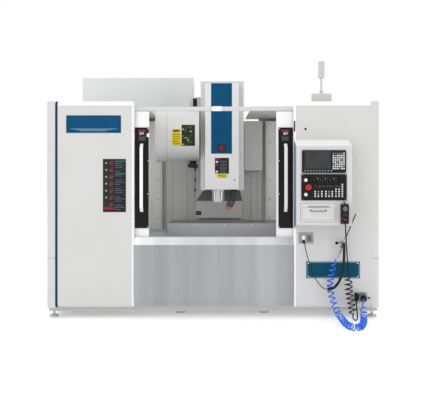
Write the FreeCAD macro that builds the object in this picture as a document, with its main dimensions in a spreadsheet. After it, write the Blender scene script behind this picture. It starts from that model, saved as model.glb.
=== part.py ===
"""Vertical machining centre with full sheet-metal enclosure, as a parametric document in millimetres.

+X is the operator's right, -Y the front, +Z up. The origin is on the floor, under the middle of the machine.
Every size lives in the spreadsheet "Sizes". A Dim carries a size's number together with its sheet expression,
so that ordinary arithmetic in this file gives the expression that an object's property is bound to.
"""
import FreeCAD, Part
import math
import os

import Sketcher

from FreeCAD import Placement, Rotation, Vector

doc = FreeCAD.newDocument("machining_centre")
sheet = doc.addObject("Spreadsheet::Sheet", "Sizes")

SIZES = {
    # overall
    "overall_width": 3200, "front_face": -1050, "rear_face": 620, "panel_bottom": 110, "panel_top": 2089,
    "skin": 4, "panel_depth": 65, "panel_round": 48, "slide_gap": 0.3,
    # bed, column and feet
    "core_x": 94, "bed_half": 440, "bed_front": -740, "bed_rear": 1100, "bed_bottom": 60, "bed_top": 560,
    "seat_top": 640, "bed_channel": 60, "channel_floor": 480, "rib_wall": 40,
    "rib_depth": 330, "foot_radius": 60, "foot_plate": 22, "foot_stud": 14,
    "column_front": 500, "column_half": 262, "column_top": 2290, "column_wall": 45,
    # guideways and screws
    "rail_width": 45, "rail_height": 38, "y_rail_half": 330, "y_rail_rear": 385, "z_rail_half": 140,
    "z_rail_bottom": 1150, "x_rail_half": 180, "x_rail_centre": 55, "x_rail_reach": 925,
    "block_half": 60, "block_wall": 22, "screw_radius": 18, "screw_run": 0.5, "y_screw_up": 530,
    "x_screw_up": 750, "z_screw_back": 478, "motor_width": 98, "motor_length": 120,
    # saddle and table
    "saddle_centre": -150, "saddle_half": 250, "saddle_top": 700, "saddle_block_reach": 170,
    "table_centre": 135, "table_half": 600, "table_depth": 600, "table_top": 881, "table_plate": 80,
    "table_skirt": 140, "skirt_wall": 25, "slot_pitch": 100, "slot_width": 18, "slot_foot": 32,
    "slot_neck": 18, "slot_depth": 32, "table_block_reach": 310, "guard_wall": 4, "guard_gap": 15,
    # head and spindle
    "spindle_x": 55, "spindle_y": -170, "nose_bottom": 1095, "nose_radius": 66, "nose_ring": 15,
    "flange_radius": 92, "flange_height": 22, "cartridge_radius": 85,
    "cartridge_top": 1690, "shaft_radius": 44, "shaft_gap": 0.3, "taper_radius": 22, "taper_depth": 65,
    "drawbar_radius": 12, "casting_half": 165, "casting_front": -285, "casting_bottom": 1240,
    "casting_top": 1700, "slide_half": 180, "slide_rear": 444, "slide_front": 404, "slide_bottom": 1330,
    "slide_top": 1776, "spindle_motor_width": 230, "spindle_motor_top": 2160,
    "cover_left": -131, "cover_right": 326, "cover_front": -300, "cover_rear": 400, "cover_bottom": 1222,
    "cover_top": 2376, "face_left": -84, "face_right": 272, "face_front": -400, "face_bottom": 1232,
    "face_top": 2346, "nozzle_radius": 9, "nozzle_tip": 992,
    # tool magazine and changer
    "drum_left": -602, "drum_right": -143, "drum_radius": 294, "drum_y": -170, "drum_z": 1823,
    "disc_left": -445, "disc_thick": 15, "disc_radius": 225, "pot_ring": 245, "pot_radius": 33,
    "pot_length": 130, "pot_count": 20, "changer_left": -425, "changer_right": -147, "changer_half": 130,
    "changer_bottom": 1570, "arm_x": -216, "arm_reach": 269, "arm_bottom": 1462,
    "arm_thick": 40, "hub_radius": 38,
    # front: doors, apron and tracks
    "left_jamb": -755, "left_face": -1486, "stripe_left": -1510, "right_jamb": 772, "right_face": 1515,
    "jamb_round": 24, "corner_round": 70, "side_seam": 583, "seam_gap": 3,
    "apron_front": -1042, "apron_bottom": 173, "apron_shoulder": 711, "apron_top": 783, "apron_rear": -985,
    "strip_bottom": 124, "strip_front": -1030, "door_width": 850, "door_front": -972, "door_thick": 28,
    "door_top": 1998, "door_open_left": -619, "door_open_right": 613, "glass_bottom": 868,
    "glass_top": 1840, "glass_thick": 8, "glass_edge_left": 2, "glass_edge_right": 19,
    "beam_top": 2041, "beam_bottom": 2002,
    "track_reach": 1560, "track_depth": 50, "track_height": 14, "handle_bottom": 1025,
    "handle_top": 1684, "handle_stand": 44, "handle_width": 30, "handle_thick": 14,
    "handle_inset_left": 55, "handle_inset_right": 73,
    # inside guards
    "inner_left": -1250, "inner_right": 1300, "recess_left": -593, "recess_right": 613,
    "guard_front": -890, "guard_rear": 470, "recess_rear": 550, "guard_bottom": 700, "guard_top": 2010,
    "chute_low": 470, "post_width": 60, "post_front": -935, "roof_height": 2044,
    "roof_left": -650, "roof_right": 380, "tank_front": -960, "tank_right": 1100, "tank_height": 320,
    "pump_radius": 36, "pump_height": 180,
    # column cover and valve box
    "cover_box_left": -197, "cover_box_right": 336, "cover_box_front": 435, "cover_box_bottom": 887,
    "cover_box_shoulder": 1084, "cover_box_top": 1210, "cover_box_taper": 92, "strip_outer": -204,
    "strip_inner": -96, "strip_right_inner": 284, "strip_right_outer": 352, "strip_face": 461,
    "valve_left": 362, "valve_right": 570, "valve_front": 400, "valve_rear": 550, "valve_bottom": 1437,
    "valve_top": 2008,
    # rear cabinet
    "cabinet_left": -1550, "cabinet_right": -234, "cabinet_front": 650, "cabinet_rear": 1326.3,
    "cabinet_bottom": 130, "cabinet_top": 2540, "cabinet_wall": 5, "cabinet_door_thick": 24,
    "drive_plate": 6, "drive_width": 150, "drive_height": 380, "drive_depth": 230,
    # operator console
    "console_left": 773, "console_right": 1292, "console_reach": 200, "console_foot": 872,
    "console_low": 916, "console_high": 1654, "console_crown": 1721,
    "display_left": 826, "display_right": 1235, "display_bottom": 1400, "display_top": 1611,
    "display_proud": 12, "panel_left": 820, "panel_right": 1241, "panel_low": 1145, "panel_high": 1388,
    "panel_proud": 10, "key_size": 13, "key_proud": 4, "estop_x": 883, "estop_z": 1266,
    "estop_radius": 26, "estop_height": 24, "estop_travel": 8, "push_x": 861, "push_radius": 13,
    "push_height": 9, "start_z": 1333, "stop_z": 1199, "knob_radius": 19, "knob_height": 22,
    "knob_z": 1334, "drawer_left": 819, "drawer_right": 1136, "drawer_bottom": 949, "drawer_top": 1111,
    "drawer_lap": 5, "drawer_depth": 170, "drawer_wall": 3, "drawer_face": 6,
    # pendant, air gun, lamp and small plates
    "pendant_x": 1217, "pendant_bottom": 930, "pendant_height": 182, "pendant_width": 74,
    "pendant_thick": 44, "pendant_gap": 14, "dial_radius": 27, "dial_height": 12,
    "selector_radius": 9, "selector_height": 10, "gun_x": 1257, "gun_z": 790, "gun_out": 75,
    "gun_radius": 13, "lever_radius": 4, "hook_radius": 8, "hook_reach": 50, "lance_radius": 5,
    "lamp_x": 1080, "lamp_y": -750,
    "lamp_radius": 31, "lamp_ring": 50, "lamp_pole": 9, "plate_thick": 3,
}


class Dim:
    """A size: its number, and the sheet expression that gives it."""

    def __init__(self, value, text):
        self.value = value
        self.text = text

    def __add__(self, other):
        other = dim(other)
        return Dim(self.value + other.value, f"({self.text} + {other.text})")

    def __sub__(self, other):
        other = dim(other)
        return Dim(self.value - other.value, f"({self.text} - {other.text})")

    def __mul__(self, other):
        other = dim(other)
        return Dim(self.value * other.value, f"({self.text} * {other.text})")

    def __truediv__(self, other):
        other = dim(other)
        return Dim(self.value / other.value, f"({self.text} / {other.text})")

    def __neg__(self):
        return Dim(-self.value, f"(0 - {self.text})")

    __radd__ = __add__
    __rmul__ = __mul__

    def __rsub__(self, other):
        return dim(other) - self


def dim(item):
    """A Dim from a Dim or a plain number."""
    return item if isinstance(item, Dim) else Dim(float(item), repr(float(item)))


class Named:
    """The driving sizes by name, so that S.skin is the Dim of the sheet's cell skin."""


S = Named()
for row, (alias, number) in enumerate(SIZES.items(), start=1):
    sheet.set(f"A{row}", alias)
    sheet.set(f"B{row}", str(number))
    sheet.setAlias(f"B{row}", alias)
    setattr(S, alias, Dim(float(number), "Sizes." + alias))
doc.recompute()

NODES = {}
TURNS = {
    "X": Rotation(Vector(0, 1, 0), 90),
    "Y": Rotation(Vector(1, 0, 0), -90),
    "Z": Rotation(),
}


def bind(item, prop, size):
    """Tie one property to its expression."""
    item.setExpression(prop, dim(size).text)


def place(item, spot, turn=None):
    """Put an object at a bound point, turned by a fixed rotation."""
    item.Placement = Placement(Vector(), turn or Rotation())
    for axis, size in zip("xyz", spot):
        bind(item, "Placement.Base." + axis, size)
    return item


def span(x, y, z):
    """A box between two bounds on each axis."""
    item = doc.addObject("Part::Box", "Block")
    for prop, (low, high) in zip(("Length", "Width", "Height"), (x, y, z)):
        bind(item, prop, dim(high) - low)
    return place(item, (x[0], y[0], z[0]))


def rod(axis, spot, radius, length):
    """A cylinder that starts at spot and runs along +axis."""
    item = doc.addObject("Part::Cylinder", "Rod")
    bind(item, "Radius", radius)
    bind(item, "Height", length)
    return place(item, spot, TURNS[axis])


def cone(axis, spot, start_radius, end_radius, length):
    """A cone frustum that starts at spot and runs along +axis."""
    item = doc.addObject("Part::Cone", "Taper")
    bind(item, "Radius1", start_radius)
    bind(item, "Radius2", end_radius)
    bind(item, "Height", length)
    return place(item, spot, TURNS[axis])


def union(parts):
    """One solid from parts that meet."""
    if len(parts) == 1:
        return parts[0]
    item = doc.addObject("Part::MultiFuse", "Union")
    item.Shapes = parts
    item.Refine = True
    return item


def cut(base, tools):
    """The base without the tools."""
    item = doc.addObject("Part::Cut", "Cut")
    item.Base = base
    item.Tool = union(tools)
    return item


def group(parts):
    """Separate solids of one node."""
    item = doc.addObject("Part::Compound", "Group")
    item.Links = parts
    return item


def node(name, item):
    """Register an object as a sub-part under its own label."""
    item.Label = name
    NODES[name] = item
    return item


def outline(body, plane, points):
    """A closed polygon sketch on one of the body's origin planes, each corner held by two bound dimensions."""
    sketch = body.newObject("Sketcher::SketchObject", "Outline")
    origin = next(f for f in body.Origin.OriginFeatures if f.Role == plane)
    sketch.AttachmentSupport = [(origin, "")]
    sketch.MapMode = "FlatFace"
    corners = [Vector(dim(u).value, dim(v).value, 0) for u, v in points]
    count = len(points)
    for i, corner in enumerate(corners):
        sketch.addGeometry(Part.LineSegment(corner, corners[(i + 1) % count]), False)
    for i in range(count):
        sketch.addConstraint(Sketcher.Constraint("Coincident", i, 2, (i + 1) % count, 1))
    for i, pair in enumerate(points):
        for kind, size in zip(("DistanceX", "DistanceY"), pair):
            size = dim(size)
            index = sketch.addConstraint(Sketcher.Constraint(kind, -1, 1, i, 1, size.value))
            label = f"{kind}{i}"
            sketch.renameConstraint(index, label)
            bind(sketch, "Constraints." + label, size)
    return sketch


def pad_body(plane, points, start, end):
    """A body padded from a polygon: plane XY_Plane pads along Z, YZ_Plane (u=Y, v=Z) along X and XZ_Plane
    (u=X, v=Z) along Y, from start to end."""
    body = doc.addObject("PartDesign::Body", "Body")
    sketch = outline(body, plane, points)
    pad = body.newObject("PartDesign::Pad", "Pad")
    pad.Profile = sketch
    bind(pad, "Length", dim(end) - start)
    pad.Reversed = plane == "XZ_Plane"
    axis = {"XY_Plane": "z", "YZ_Plane": "x", "XZ_Plane": "y"}[plane]
    bind(body, "Placement.Base." + axis, start)
    return body


def rectangle(u, v):
    """The four corners of a rectangle from its bounds."""
    return [(u[0], v[0]), (u[1], v[0]), (u[1], v[1]), (u[0], v[1])]


def round_edges(body, test, radius):
    """Round the edges of a body's tip whose middle point passes the test, in the body's own frame."""
    doc.recompute()
    tip = body.Tip
    names = [
        f"Edge{i}" for i, edge in enumerate(tip.Shape.Edges, start=1) if test(edge.CenterOfMass)
    ]
    fillet = body.newObject("PartDesign::Fillet", "Round")
    fillet.Base = (tip, names)
    bind(fillet, "Radius", radius)
    return body


def hollow(body, opened, wall):
    """Hollow a body inwards to a wall, leaving out the flat faces whose outward normal passes the test."""
    doc.recompute()
    tip = body.Tip
    names = []
    for i, face in enumerate(tip.Shape.Faces, start=1):
        if isinstance(face.Surface, Part.Plane) and opened(face.normalAt(0, 0), face.CenterOfMass):
            names.append(f"Face{i}")
    shell = body.newObject("PartDesign::Thickness", "Hollow")
    shell.Base = (tip, names)
    bind(shell, "Value", wall)
    shell.Reversed = True
    shell.Join = 1
    return body


def between(one, other):
    """Two bounds in rising order."""
    return (one, other) if dim(one).value < dim(other).value else (other, one)


def near(value, size):
    """True where a coordinate lies on a size."""
    return abs(value - dim(size).value) < 0.01


def strut(start, finish, radius):
    """A cylinder between two points."""
    begin = Vector(*(dim(size).value for size in start))
    run = Vector(*(dim(size).value for size in finish)) - begin
    item = doc.addObject("Part::Cylinder", "Strut")
    bind(item, "Radius", radius)
    bind(item, "Height", run.Length)
    return place(item, start, Rotation(Vector(0, 0, 1), run))


def tube(name, points, radius):
    """A cord's solid: a round section swept along straight runs joined by tangent arcs. Each arc's radius is
    0.45 of the shorter of its two runs, over the tangent of half the turn."""
    points = [Vector(*point) for point in points]
    edges = []
    radii = []
    begin = points[0]
    for before, corner, after in zip(points, points[1:], points[2:]):
        come = (corner - before).normalize()
        leave = (after - corner).normalize()
        half = come.getAngle(leave) / 2
        setback = 0.45 * min(before.distanceToPoint(corner), corner.distanceToPoint(after))
        bend = setback / math.tan(half)
        radii.append(bend)
        first = corner - come * setback
        last = corner + leave * setback
        middle = corner + (leave - come).normalize() * (bend / math.cos(half) - bend)
        edges.append(Part.LineSegment(begin, first).toShape())
        edges.append(Part.Arc(first, middle, last).toShape())
        begin = last
    edges.append(Part.LineSegment(begin, points[-1]).toShape())
    wire = Part.Wire(edges)
    ring = Part.Circle(points[0], points[1] - points[0], radius).toShape()
    solid = wire.makePipeShell([Part.Wire([ring])], True, False)
    expected = math.pi * radius ** 2 * wire.Length
    print(f"{name}: length {wire.Length:.0f}, tightest radius {min(radii):.0f}, "
          f"volume over section times length {solid.Volume / expected:.4f}")
    item = doc.addObject("Part::Feature", "Cord")
    item.Shape = solid
    return item


# --- bed, column, feet and drives ------------------------------------------------------------------------


def machine_bed():
    """The cast bed: a ribbed block with a channel for the Y screw, a narrower foot under the column, and a
    raised seat for it."""
    foot = (S.core_x - S.column_half, S.core_x + S.column_half)
    step = S.cabinet_front
    block = span((S.core_x - S.bed_half, S.core_x + S.bed_half), (S.bed_front, step), (S.bed_bottom, S.bed_top))
    tail = span(foot, (step, S.bed_rear), (S.bed_bottom, S.bed_top))
    seat = span(foot, (S.y_rail_rear + 15, S.bed_rear), (S.bed_top, S.seat_top))
    channel = span((S.core_x - S.bed_channel, S.core_x + S.bed_channel), (S.bed_front, S.y_rail_rear + 15),
                   (S.channel_floor, S.bed_top))
    pockets = []
    depth = (S.bed_bottom, S.bed_bottom + S.rib_depth)
    wide = (S.bed_half * 2 - S.rib_wall * 4) / 3
    long = (step - S.bed_front - S.rib_wall * 6) / 5
    for column in range(3):
        left = S.core_x - S.bed_half + S.rib_wall + (wide + S.rib_wall) * column
        for line in range(5):
            front = S.bed_front + S.rib_wall + (long + S.rib_wall) * line
            pockets.append(span((left, left + wide), (front, front + long), depth))
    wide = (S.column_half * 2 - S.rib_wall * 3) / 2
    for column in range(2):
        left = foot[0] + S.rib_wall + (wide + S.rib_wall) * column
        pockets.append(span((left, left + wide), (step, S.bed_rear - S.rib_wall), depth))
    casting = cut(union([block, tail, seat]), [channel] + pockets)
    bearings = [
        span((S.core_x - S.bed_channel, S.core_x + S.bed_channel), (front, front + 40),
             (S.channel_floor, S.bed_top))
        for front in (S.bed_front, S.y_rail_rear - 25)
    ]
    bore = rod("Y", (S.core_x, S.bed_front - 5, S.y_screw_up), S.screw_radius + S.screw_run,
               S.y_rail_rear - S.bed_front + 20)
    return cut(union([casting] + bearings), [bore])


def levelling_feet():
    """Pads and studs under the bed and under the enclosure's posts."""
    feet = []
    inner = [(S.core_x + side * (S.bed_half - S.rib_wall / 2), y) for side in (-1, 1)
             for y in (S.bed_front + 60, S.bed_front + 900)]
    inner += [(S.core_x + side * (S.column_half - S.rib_wall / 2), S.bed_rear - 60) for side in (-1, 1)]
    outer = [(side * (S.overall_width / 2 - S.skin - S.foot_radius * 0.75), y) for side in (-1, 1)
             for y in (S.post_front + S.post_width / 2, S.rear_face - S.skin - S.post_width / 2)]
    legs = [(x, y) for x in (S.cabinet_left + 60, S.cabinet_right - 60)
            for y in (S.cabinet_front + 60, S.cabinet_rear - 60)]
    heights = [S.bed_bottom] * 6 + [S.bed_bottom] * 4 + [S.cabinet_bottom] * 4
    for (x, y), top in zip(inner + outer + legs, heights):
        pad = rod("Z", (x, y, 0), S.foot_radius * 0.75, S.foot_plate)
        stud = rod("Z", (x, y, 0), S.foot_stud, top)
        feet.append(union([pad, stud]))
    return group(feet)


def column():
    """The cast column, hollow behind, with the bearing blocks of the Z screw on its front."""
    outer = span((S.core_x - S.column_half, S.core_x + S.column_half), (S.column_front, S.bed_rear),
                 (S.seat_top, S.column_top))
    half = S.column_half - S.column_wall
    hollows = []
    for low, high in ((-half, -S.column_wall / 2), (S.column_wall / 2, half)):
        hollows.append(span((S.core_x + low, S.core_x + high), (S.column_front + S.column_wall, S.bed_rear),
                            (S.seat_top + 120, S.column_top - 90)))
    blocks = [
        span((S.core_x - S.screw_radius - 20, S.core_x + S.screw_radius + 20),
             (S.z_screw_back - 26, S.column_front), (low, low + 40))
        for low in (S.z_rail_bottom, S.column_top - 40)
    ]
    bore = rod("Z", (S.core_x, S.z_screw_back, S.z_rail_bottom - 5), S.screw_radius + S.screw_run,
               S.column_top - S.z_rail_bottom + 10)
    return cut(union([cut(outer, hollows)] + blocks), [bore])


def rail(axis, spot, length):
    """One guide rail of the common section, along Y on the bed, along X on the saddle or up the column."""
    x, y, z = spot
    half = S.rail_width / 2
    if axis == "Y":
        return span((x - half, x + half), (y, y + length), (z, z + S.rail_height))
    if axis == "X":
        return span((x, x + length), (y - half, y + half), (z, z + S.rail_height))
    return span((x - half, x + half), (y - S.rail_height, y), (z, z + length))


def servo(axis, spot):
    """A square servo motor whose flange starts at spot and whose body runs along axis."""
    half = S.motor_width / 2
    x, y, z = spot
    end = S.motor_length
    if axis == "Z":
        return span((x - half, x + half), (y - half, y + half), (z, z + end))
    if axis == "Y":
        return span((x - half, x + half), (y - end, y), (z - half, z + half))
    return span((x, x + end), (y - half, y + half), (z - half, z + half))


def yz_axis_drives():
    """Rails and servo motors that stay with the bed and the column."""
    rails = [rail("Y", (S.core_x + side * S.y_rail_half, S.bed_front + 5, S.bed_top),
                  S.y_rail_rear - S.bed_front - 5) for side in (-1, 1)]
    rails += [rail("Z", (S.core_x + side * S.z_rail_half, S.column_front, S.z_rail_bottom),
                   S.column_top - S.z_rail_bottom) for side in (-1, 1)]
    motors = [servo("Y", (S.core_x, S.bed_front, S.y_screw_up)),
              servo("Z", (S.core_x, S.z_screw_back, S.column_top))]
    return group(rails + motors)


def screw(axis, spot, length):
    """One ball screw, as its outer cylinder."""
    return rod(axis, spot, S.screw_radius, length)


def coolant_tank():
    """An open tank under the door sill, with a pump motor on a bridge at its right end."""
    depth = (S.tank_front, S.bed_front - 5)
    body = pad_body("XY_Plane", rectangle((S.left_jamb + 60, S.tank_right), depth),
                    S.panel_bottom, S.panel_bottom + S.tank_height)
    hollow(body, lambda normal, centre: normal.z > 0.9, S.skin)
    rim = S.panel_bottom + S.tank_height
    bridge = span((S.tank_right - 3 * S.pump_radius, S.tank_right), depth, (rim, rim + 6))
    pump = rod("Z", (S.tank_right - 1.5 * S.pump_radius, S.tank_front + S.pump_radius, rim + 6),
               S.pump_radius, S.pump_height)
    return group([body, union([bridge, pump])])


# --- enclosure ---------------------------------------------------------------------------------------------


def front_panel(left, right, jamb=None):
    """One big folded front panel, rounded at its top and bottom, with a rounded jamb beside the door, and open
    at the back. It is built from its jamb along +X, and the left panel is the same shape turned half round."""
    height = S.panel_top - S.panel_bottom
    body = pad_body("XY_Plane", rectangle((0, right - left), (S.front_face, S.front_face + S.panel_depth)),
                    0, height)
    round_edges(body, lambda p: near(p.y, S.front_face) and (near(p.z, 0) or near(p.z, height)),
                S.panel_round)
    if jamb is not None:
        round_edges(body, lambda p: near(p.x, 0) and near(p.y, S.front_face), S.jamb_round)
    hollow(body, lambda normal, centre: normal.y > 0.9, S.skin)
    if jamb is right:
        return place(body, (right, 0, S.panel_top), Rotation(Vector(0, 1, 0), 180))
    return place(body, (left, 0, S.panel_bottom))


def outer_panels():
    """Side panels with a rounded front corner, an upper and a lower one on each side, and the rear panel."""
    parts = []
    edge = S.overall_width / 2
    seams = ((S.panel_bottom, S.side_seam), (S.side_seam + S.seam_gap, S.panel_top))
    for side, inner in ((-1, S.stripe_left), (1, S.right_face)):
        for low, high in seams:
            solid = pad_body("XY_Plane", rectangle((side * edge, inner), (S.front_face, S.rear_face)),
                             low, high)
            round_edges(solid, lambda p: near(p.x, side * edge) and near(p.y, S.front_face),
                        S.corner_round)
            away = -side
            parts.append(hollow(
                solid,
                lambda normal, centre: normal.x * away > 0.9 or abs(normal.z) > 0.9 or normal.y > 0.9,
                S.skin,
            ))
    for side in (-1, 1):
        bed_side, wall = S.core_x + side * (S.bed_half + 6), side * (edge - S.skin)
        left, right = (wall, bed_side) if side < 0 else (bed_side, wall)
        parts.append(span((left, right), (S.rear_face, S.rear_face + S.skin), (S.panel_bottom, S.panel_top)))
        roof_edge = S.roof_left if side < 0 else S.roof_right
        left, right = (wall, roof_edge) if side < 0 else (roof_edge, wall)
        parts.append(span((left, right), (S.apron_rear + S.track_depth, S.rear_face),
                          (S.roof_height, S.roof_height + S.skin)))
    return group(parts)


def enclosure_frame():
    """Posts and rails that carry the panels, with the door's top beam and bottom track."""
    edge = S.overall_width / 2 - S.skin
    back = S.rear_face - S.post_width
    base = S.bed_bottom
    low = S.panel_bottom
    parts = []
    for side in (-1, 1):
        outer, inner = side * edge, side * (edge - S.post_width)
        left, right = (outer, inner) if side < 0 else (inner, outer)
        parts.append(span((left, right), (S.post_front, S.post_front + S.post_width), (base, S.roof_height)))
        parts.append(span((left, right), (back, S.rear_face), (base, S.roof_height)))
        for bottom in (base, S.roof_height - 50):
            top = low if bottom is base else S.roof_height
            parts.append(span((left, right), (S.post_front + S.post_width, back), (bottom, top)))
        bed_side = S.core_x + side * S.bed_half
        near_bed, far = (inner, bed_side) if side < 0 else (bed_side, inner)
        parts.append(span((near_bed, far), (back, S.rear_face), (base, low)))
    parts.append(span((-edge + S.post_width, edge - S.post_width),
                      (S.post_front, S.post_front + S.post_width), (base, low)))
    parts.append(span((-S.track_reach, S.track_reach), (S.apron_rear, S.apron_rear + S.track_depth),
                      (S.beam_bottom, S.beam_top)))
    parts.append(span((-S.track_reach, S.track_reach), (S.apron_rear, S.apron_rear + S.track_depth),
                      (S.apron_top - S.track_height, S.apron_top)))
    parts += [
        span((x - 20, x + 20), (S.apron_rear + S.track_depth, S.post_front + S.post_width),
             (low, S.apron_top))
        for x in (60 - S.track_reach, S.track_reach - 60)
    ]
    return group(parts)


def apron():
    """The stainless apron under the doors: a folded sheet with a sloped top, and the kick strip below it."""
    front, back = S.apron_front, S.apron_rear
    path = [
        (back, S.apron_bottom), (front, S.apron_bottom), (front, S.apron_shoulder),
        (back - 22, S.apron_top), (back, S.apron_top),
        (back, S.apron_top - S.skin), (back - 20, S.apron_top - S.skin),
        (front + S.skin, S.apron_shoulder - 2), (front + S.skin, S.apron_bottom + S.skin),
        (back, S.apron_bottom + S.skin),
    ]
    sheet_body = pad_body("YZ_Plane", path, S.left_jamb, S.right_jamb)
    strip = span((S.left_jamb, S.right_jamb), (S.strip_front, S.strip_front + S.skin),
                 (S.strip_bottom, S.apron_bottom))
    return group([sheet_body, strip])


def inner_guards():
    """The stainless lining of the work space: a folded wall on each side with a recess beside the column, and
    the sloping chutes that lead chips to the bed."""
    sill = S.guard_bottom + 35
    high = (sill, S.guard_top)
    rear, back = S.guard_rear, S.recess_rear
    sides = (
        (-1, S.inner_left, S.recess_left, S.recess_left + 220),
        (1, S.inner_right, S.recess_right, S.recess_right - 210),
    )
    walls = []
    for side, wall, recess, end in sides:
        outer = side * S.skin
        walls += [
            span(between(wall, wall + outer), (S.guard_front, rear), high),
            span(between(recess, wall + outer), (rear, rear + S.skin), high),
            span(between(recess, recess + outer), (rear + S.skin, back), high),
            span(between(end, recess + outer), (back, back + S.skin), high),
        ]
    walls.append(span((S.recess_left + 220, S.core_x - S.column_half), (back, back + S.skin),
                      (sill, S.changer_bottom)))
    for wall, side in ((S.inner_left, -1), (S.inner_right, 1)):
        foot = S.core_x + side * S.bed_half
        lip = wall + side * S.skin
        slope = [(lip, sill), (wall, sill), (foot, S.chute_low), (foot, S.chute_low - S.skin),
                 (wall, sill - S.skin), (lip, sill - S.skin)]
        walls.append(pad_body("XZ_Plane", slope, S.guard_front + 10, S.guard_rear))
    top, front = S.apron_top - S.track_height, S.apron_rear + S.track_depth
    walls.append(span((S.left_jamb, S.right_jamb), (front - S.skin, front),
                      (S.panel_bottom + S.tank_height, top)))
    return group(walls)


def column_cover():
    """Sheet covers in front of the column: a box round its foot with a tapering top plate, a strip on each
    side of the head's slot, and the valve box beside them."""
    left, right = S.cover_box_left, S.cover_box_right
    box_body = pad_body("XY_Plane", rectangle((left, right), (S.cover_box_front, S.column_front)),
                        S.cover_box_bottom, S.cover_box_shoulder)
    hollow(box_body, lambda normal, centre: abs(normal.z) > 0.9 or normal.y > 0.9, S.skin)
    plate = [(left, S.cover_box_shoulder), (right, S.cover_box_shoulder),
             (right - S.cover_box_taper / 4, S.cover_box_top), (left + S.cover_box_taper, S.cover_box_top)]
    top_plate = pad_body("XZ_Plane", plate, S.cover_box_front, S.cover_box_front + S.skin)
    strips = []
    for outer, inner, leg in ((S.strip_outer, S.strip_inner, -1), (S.strip_right_outer, S.strip_right_inner, 1)):
        low, high = (outer, inner) if leg < 0 else (inner, outer)
        face = span((low, high), (S.strip_face, S.strip_face + S.skin),
                    (S.cover_box_shoulder + 6, S.column_top))
        edge = (inner - S.skin, inner) if leg < 0 else (inner, inner + S.skin)
        web = span(edge, (S.strip_face, S.column_front), (S.cover_box_shoulder + 6, S.column_top))
        strips.append(union([face, web]))
    valve = span((S.valve_left, S.valve_right), (S.valve_front, S.valve_rear), (S.valve_bottom, S.valve_top))
    return group([union([box_body, top_plate])] + strips + [valve])


# --- doors -------------------------------------------------------------------------------------------------


def door_panel(leading, side):
    """One sliding door: a frame with a window opening. side is +1 where the door lies to the left of its
    leading edge and -1 where it lies to the right."""
    trailing = leading - side * S.door_width
    low, high = (trailing, leading) if side > 0 else (leading, trailing)
    bottom = S.apron_top + S.slide_gap
    slab = span((low, high), (S.door_front, S.door_front + S.door_thick), (bottom, S.door_top))
    edge = S.glass_edge_left if side > 0 else S.glass_edge_right
    margin = edge + 45
    near_side = leading - side * (edge + 14)
    far_side = trailing + side * margin
    opening = (far_side, near_side) if side > 0 else (near_side, far_side)
    hole = span(opening, (S.door_front - 5, S.door_front + S.door_thick + 5),
                (S.glass_bottom + 14, S.glass_top - 14))
    return cut(slab, [hole])


def door_glass(leading, side):
    """The dark window that lies on the front of one door."""
    near_side = leading - side * (S.glass_edge_left if side > 0 else S.glass_edge_right)
    far_side = leading - side * (S.door_width - 31)
    low, high = (far_side, near_side) if side > 0 else (near_side, far_side)
    return span((low, high), (S.door_front - S.glass_thick, S.door_front), (S.glass_bottom, S.glass_top))


def door_handle(leading, side):
    """A bowed vertical grip that stands off the window on two feet."""
    inset = S.handle_inset_left if side > 0 else S.handle_inset_right
    middle = leading - side * (inset + S.handle_width / 2)
    face = S.door_front - S.glass_thick
    out = face - S.handle_stand
    low, high = S.handle_bottom, S.handle_top
    bend = S.handle_stand
    profile = [
        (face, low), (out, low + bend), (out, high - bend), (face, high),
        (face, high - S.handle_thick * 2), (out + S.handle_thick, high - bend - S.handle_thick * 0.6),
        (out + S.handle_thick, low + bend + S.handle_thick * 0.6), (face, low + S.handle_thick * 2),
    ]
    return pad_body("YZ_Plane", profile, middle - S.handle_width / 2, middle + S.handle_width / 2)


# --- saddle and table --------------------------------------------------------------------------------------


def saddle():
    """The saddle casting with its bearing blocks and screw bracket, and the sheet guards fixed to it."""
    reach = S.x_rail_reach
    middle = S.x_rail_centre
    y = S.saddle_centre
    plate = span((middle - reach, middle + reach), (y - S.saddle_half, y + S.saddle_half),
                 (S.seat_top, S.saddle_top))
    blocks = []
    gap = S.slide_gap
    half_rail = S.rail_width / 2 + gap
    for x in (S.core_x - S.y_rail_half, S.core_x + S.y_rail_half):
        for centre in (y - S.saddle_block_reach, y + S.saddle_block_reach):
            block = span((x - half_rail - S.block_wall, x + half_rail + S.block_wall),
                         (centre - S.block_half, centre + S.block_half),
                         (S.bed_top + 8, S.seat_top))
            slot = span((x - half_rail, x + half_rail),
                        (centre - S.block_half - 1, centre + S.block_half + 1),
                        (S.bed_top, S.bed_top + S.rail_height + gap))
            blocks.append(cut(block, [slot]))
    nut = span((S.core_x - 42, S.core_x + 42), (y - 45, y + 45), (S.y_screw_up - 45, S.seat_top))
    nut_bore = rod("Y", (S.core_x, y - 50, S.y_screw_up), S.screw_radius + S.screw_run, 100)
    bearings = [
        span((low, low + 36), (y - 42, y + 42), (S.saddle_top, S.x_screw_up + 42))
        for low in (middle - reach, middle + reach - 36)
    ]
    bearing_bore = rod("X", (middle - reach - 2, y, S.x_screw_up), S.screw_radius + S.screw_run,
                       2 * reach + 4)
    casting = cut(union([plate] + blocks + [nut] + bearings), [nut_bore, bearing_bore])
    left, right = middle - reach - 30, middle + reach + S.motor_length + 40
    front, back = y - S.saddle_half - S.guard_wall, y + S.saddle_half + S.guard_wall
    top = S.table_top - S.table_plate - S.guard_gap
    ring = pad_body("XY_Plane", rectangle((left, right), (front, back)), S.saddle_top - 4, top)
    hollow(ring, lambda normal, centre: abs(normal.z) > 0.9, S.guard_wall)
    low = S.bed_top + 48
    half = S.bed_half - 20
    skirt = [(front, S.saddle_top), (front - 185, low), (front - 185, low - S.guard_wall),
             (front, S.saddle_top - S.guard_wall)]
    front_skirt = pad_body("YZ_Plane", skirt, S.core_x - half, S.core_x + half)
    return group([casting, ring, front_skirt])


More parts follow.
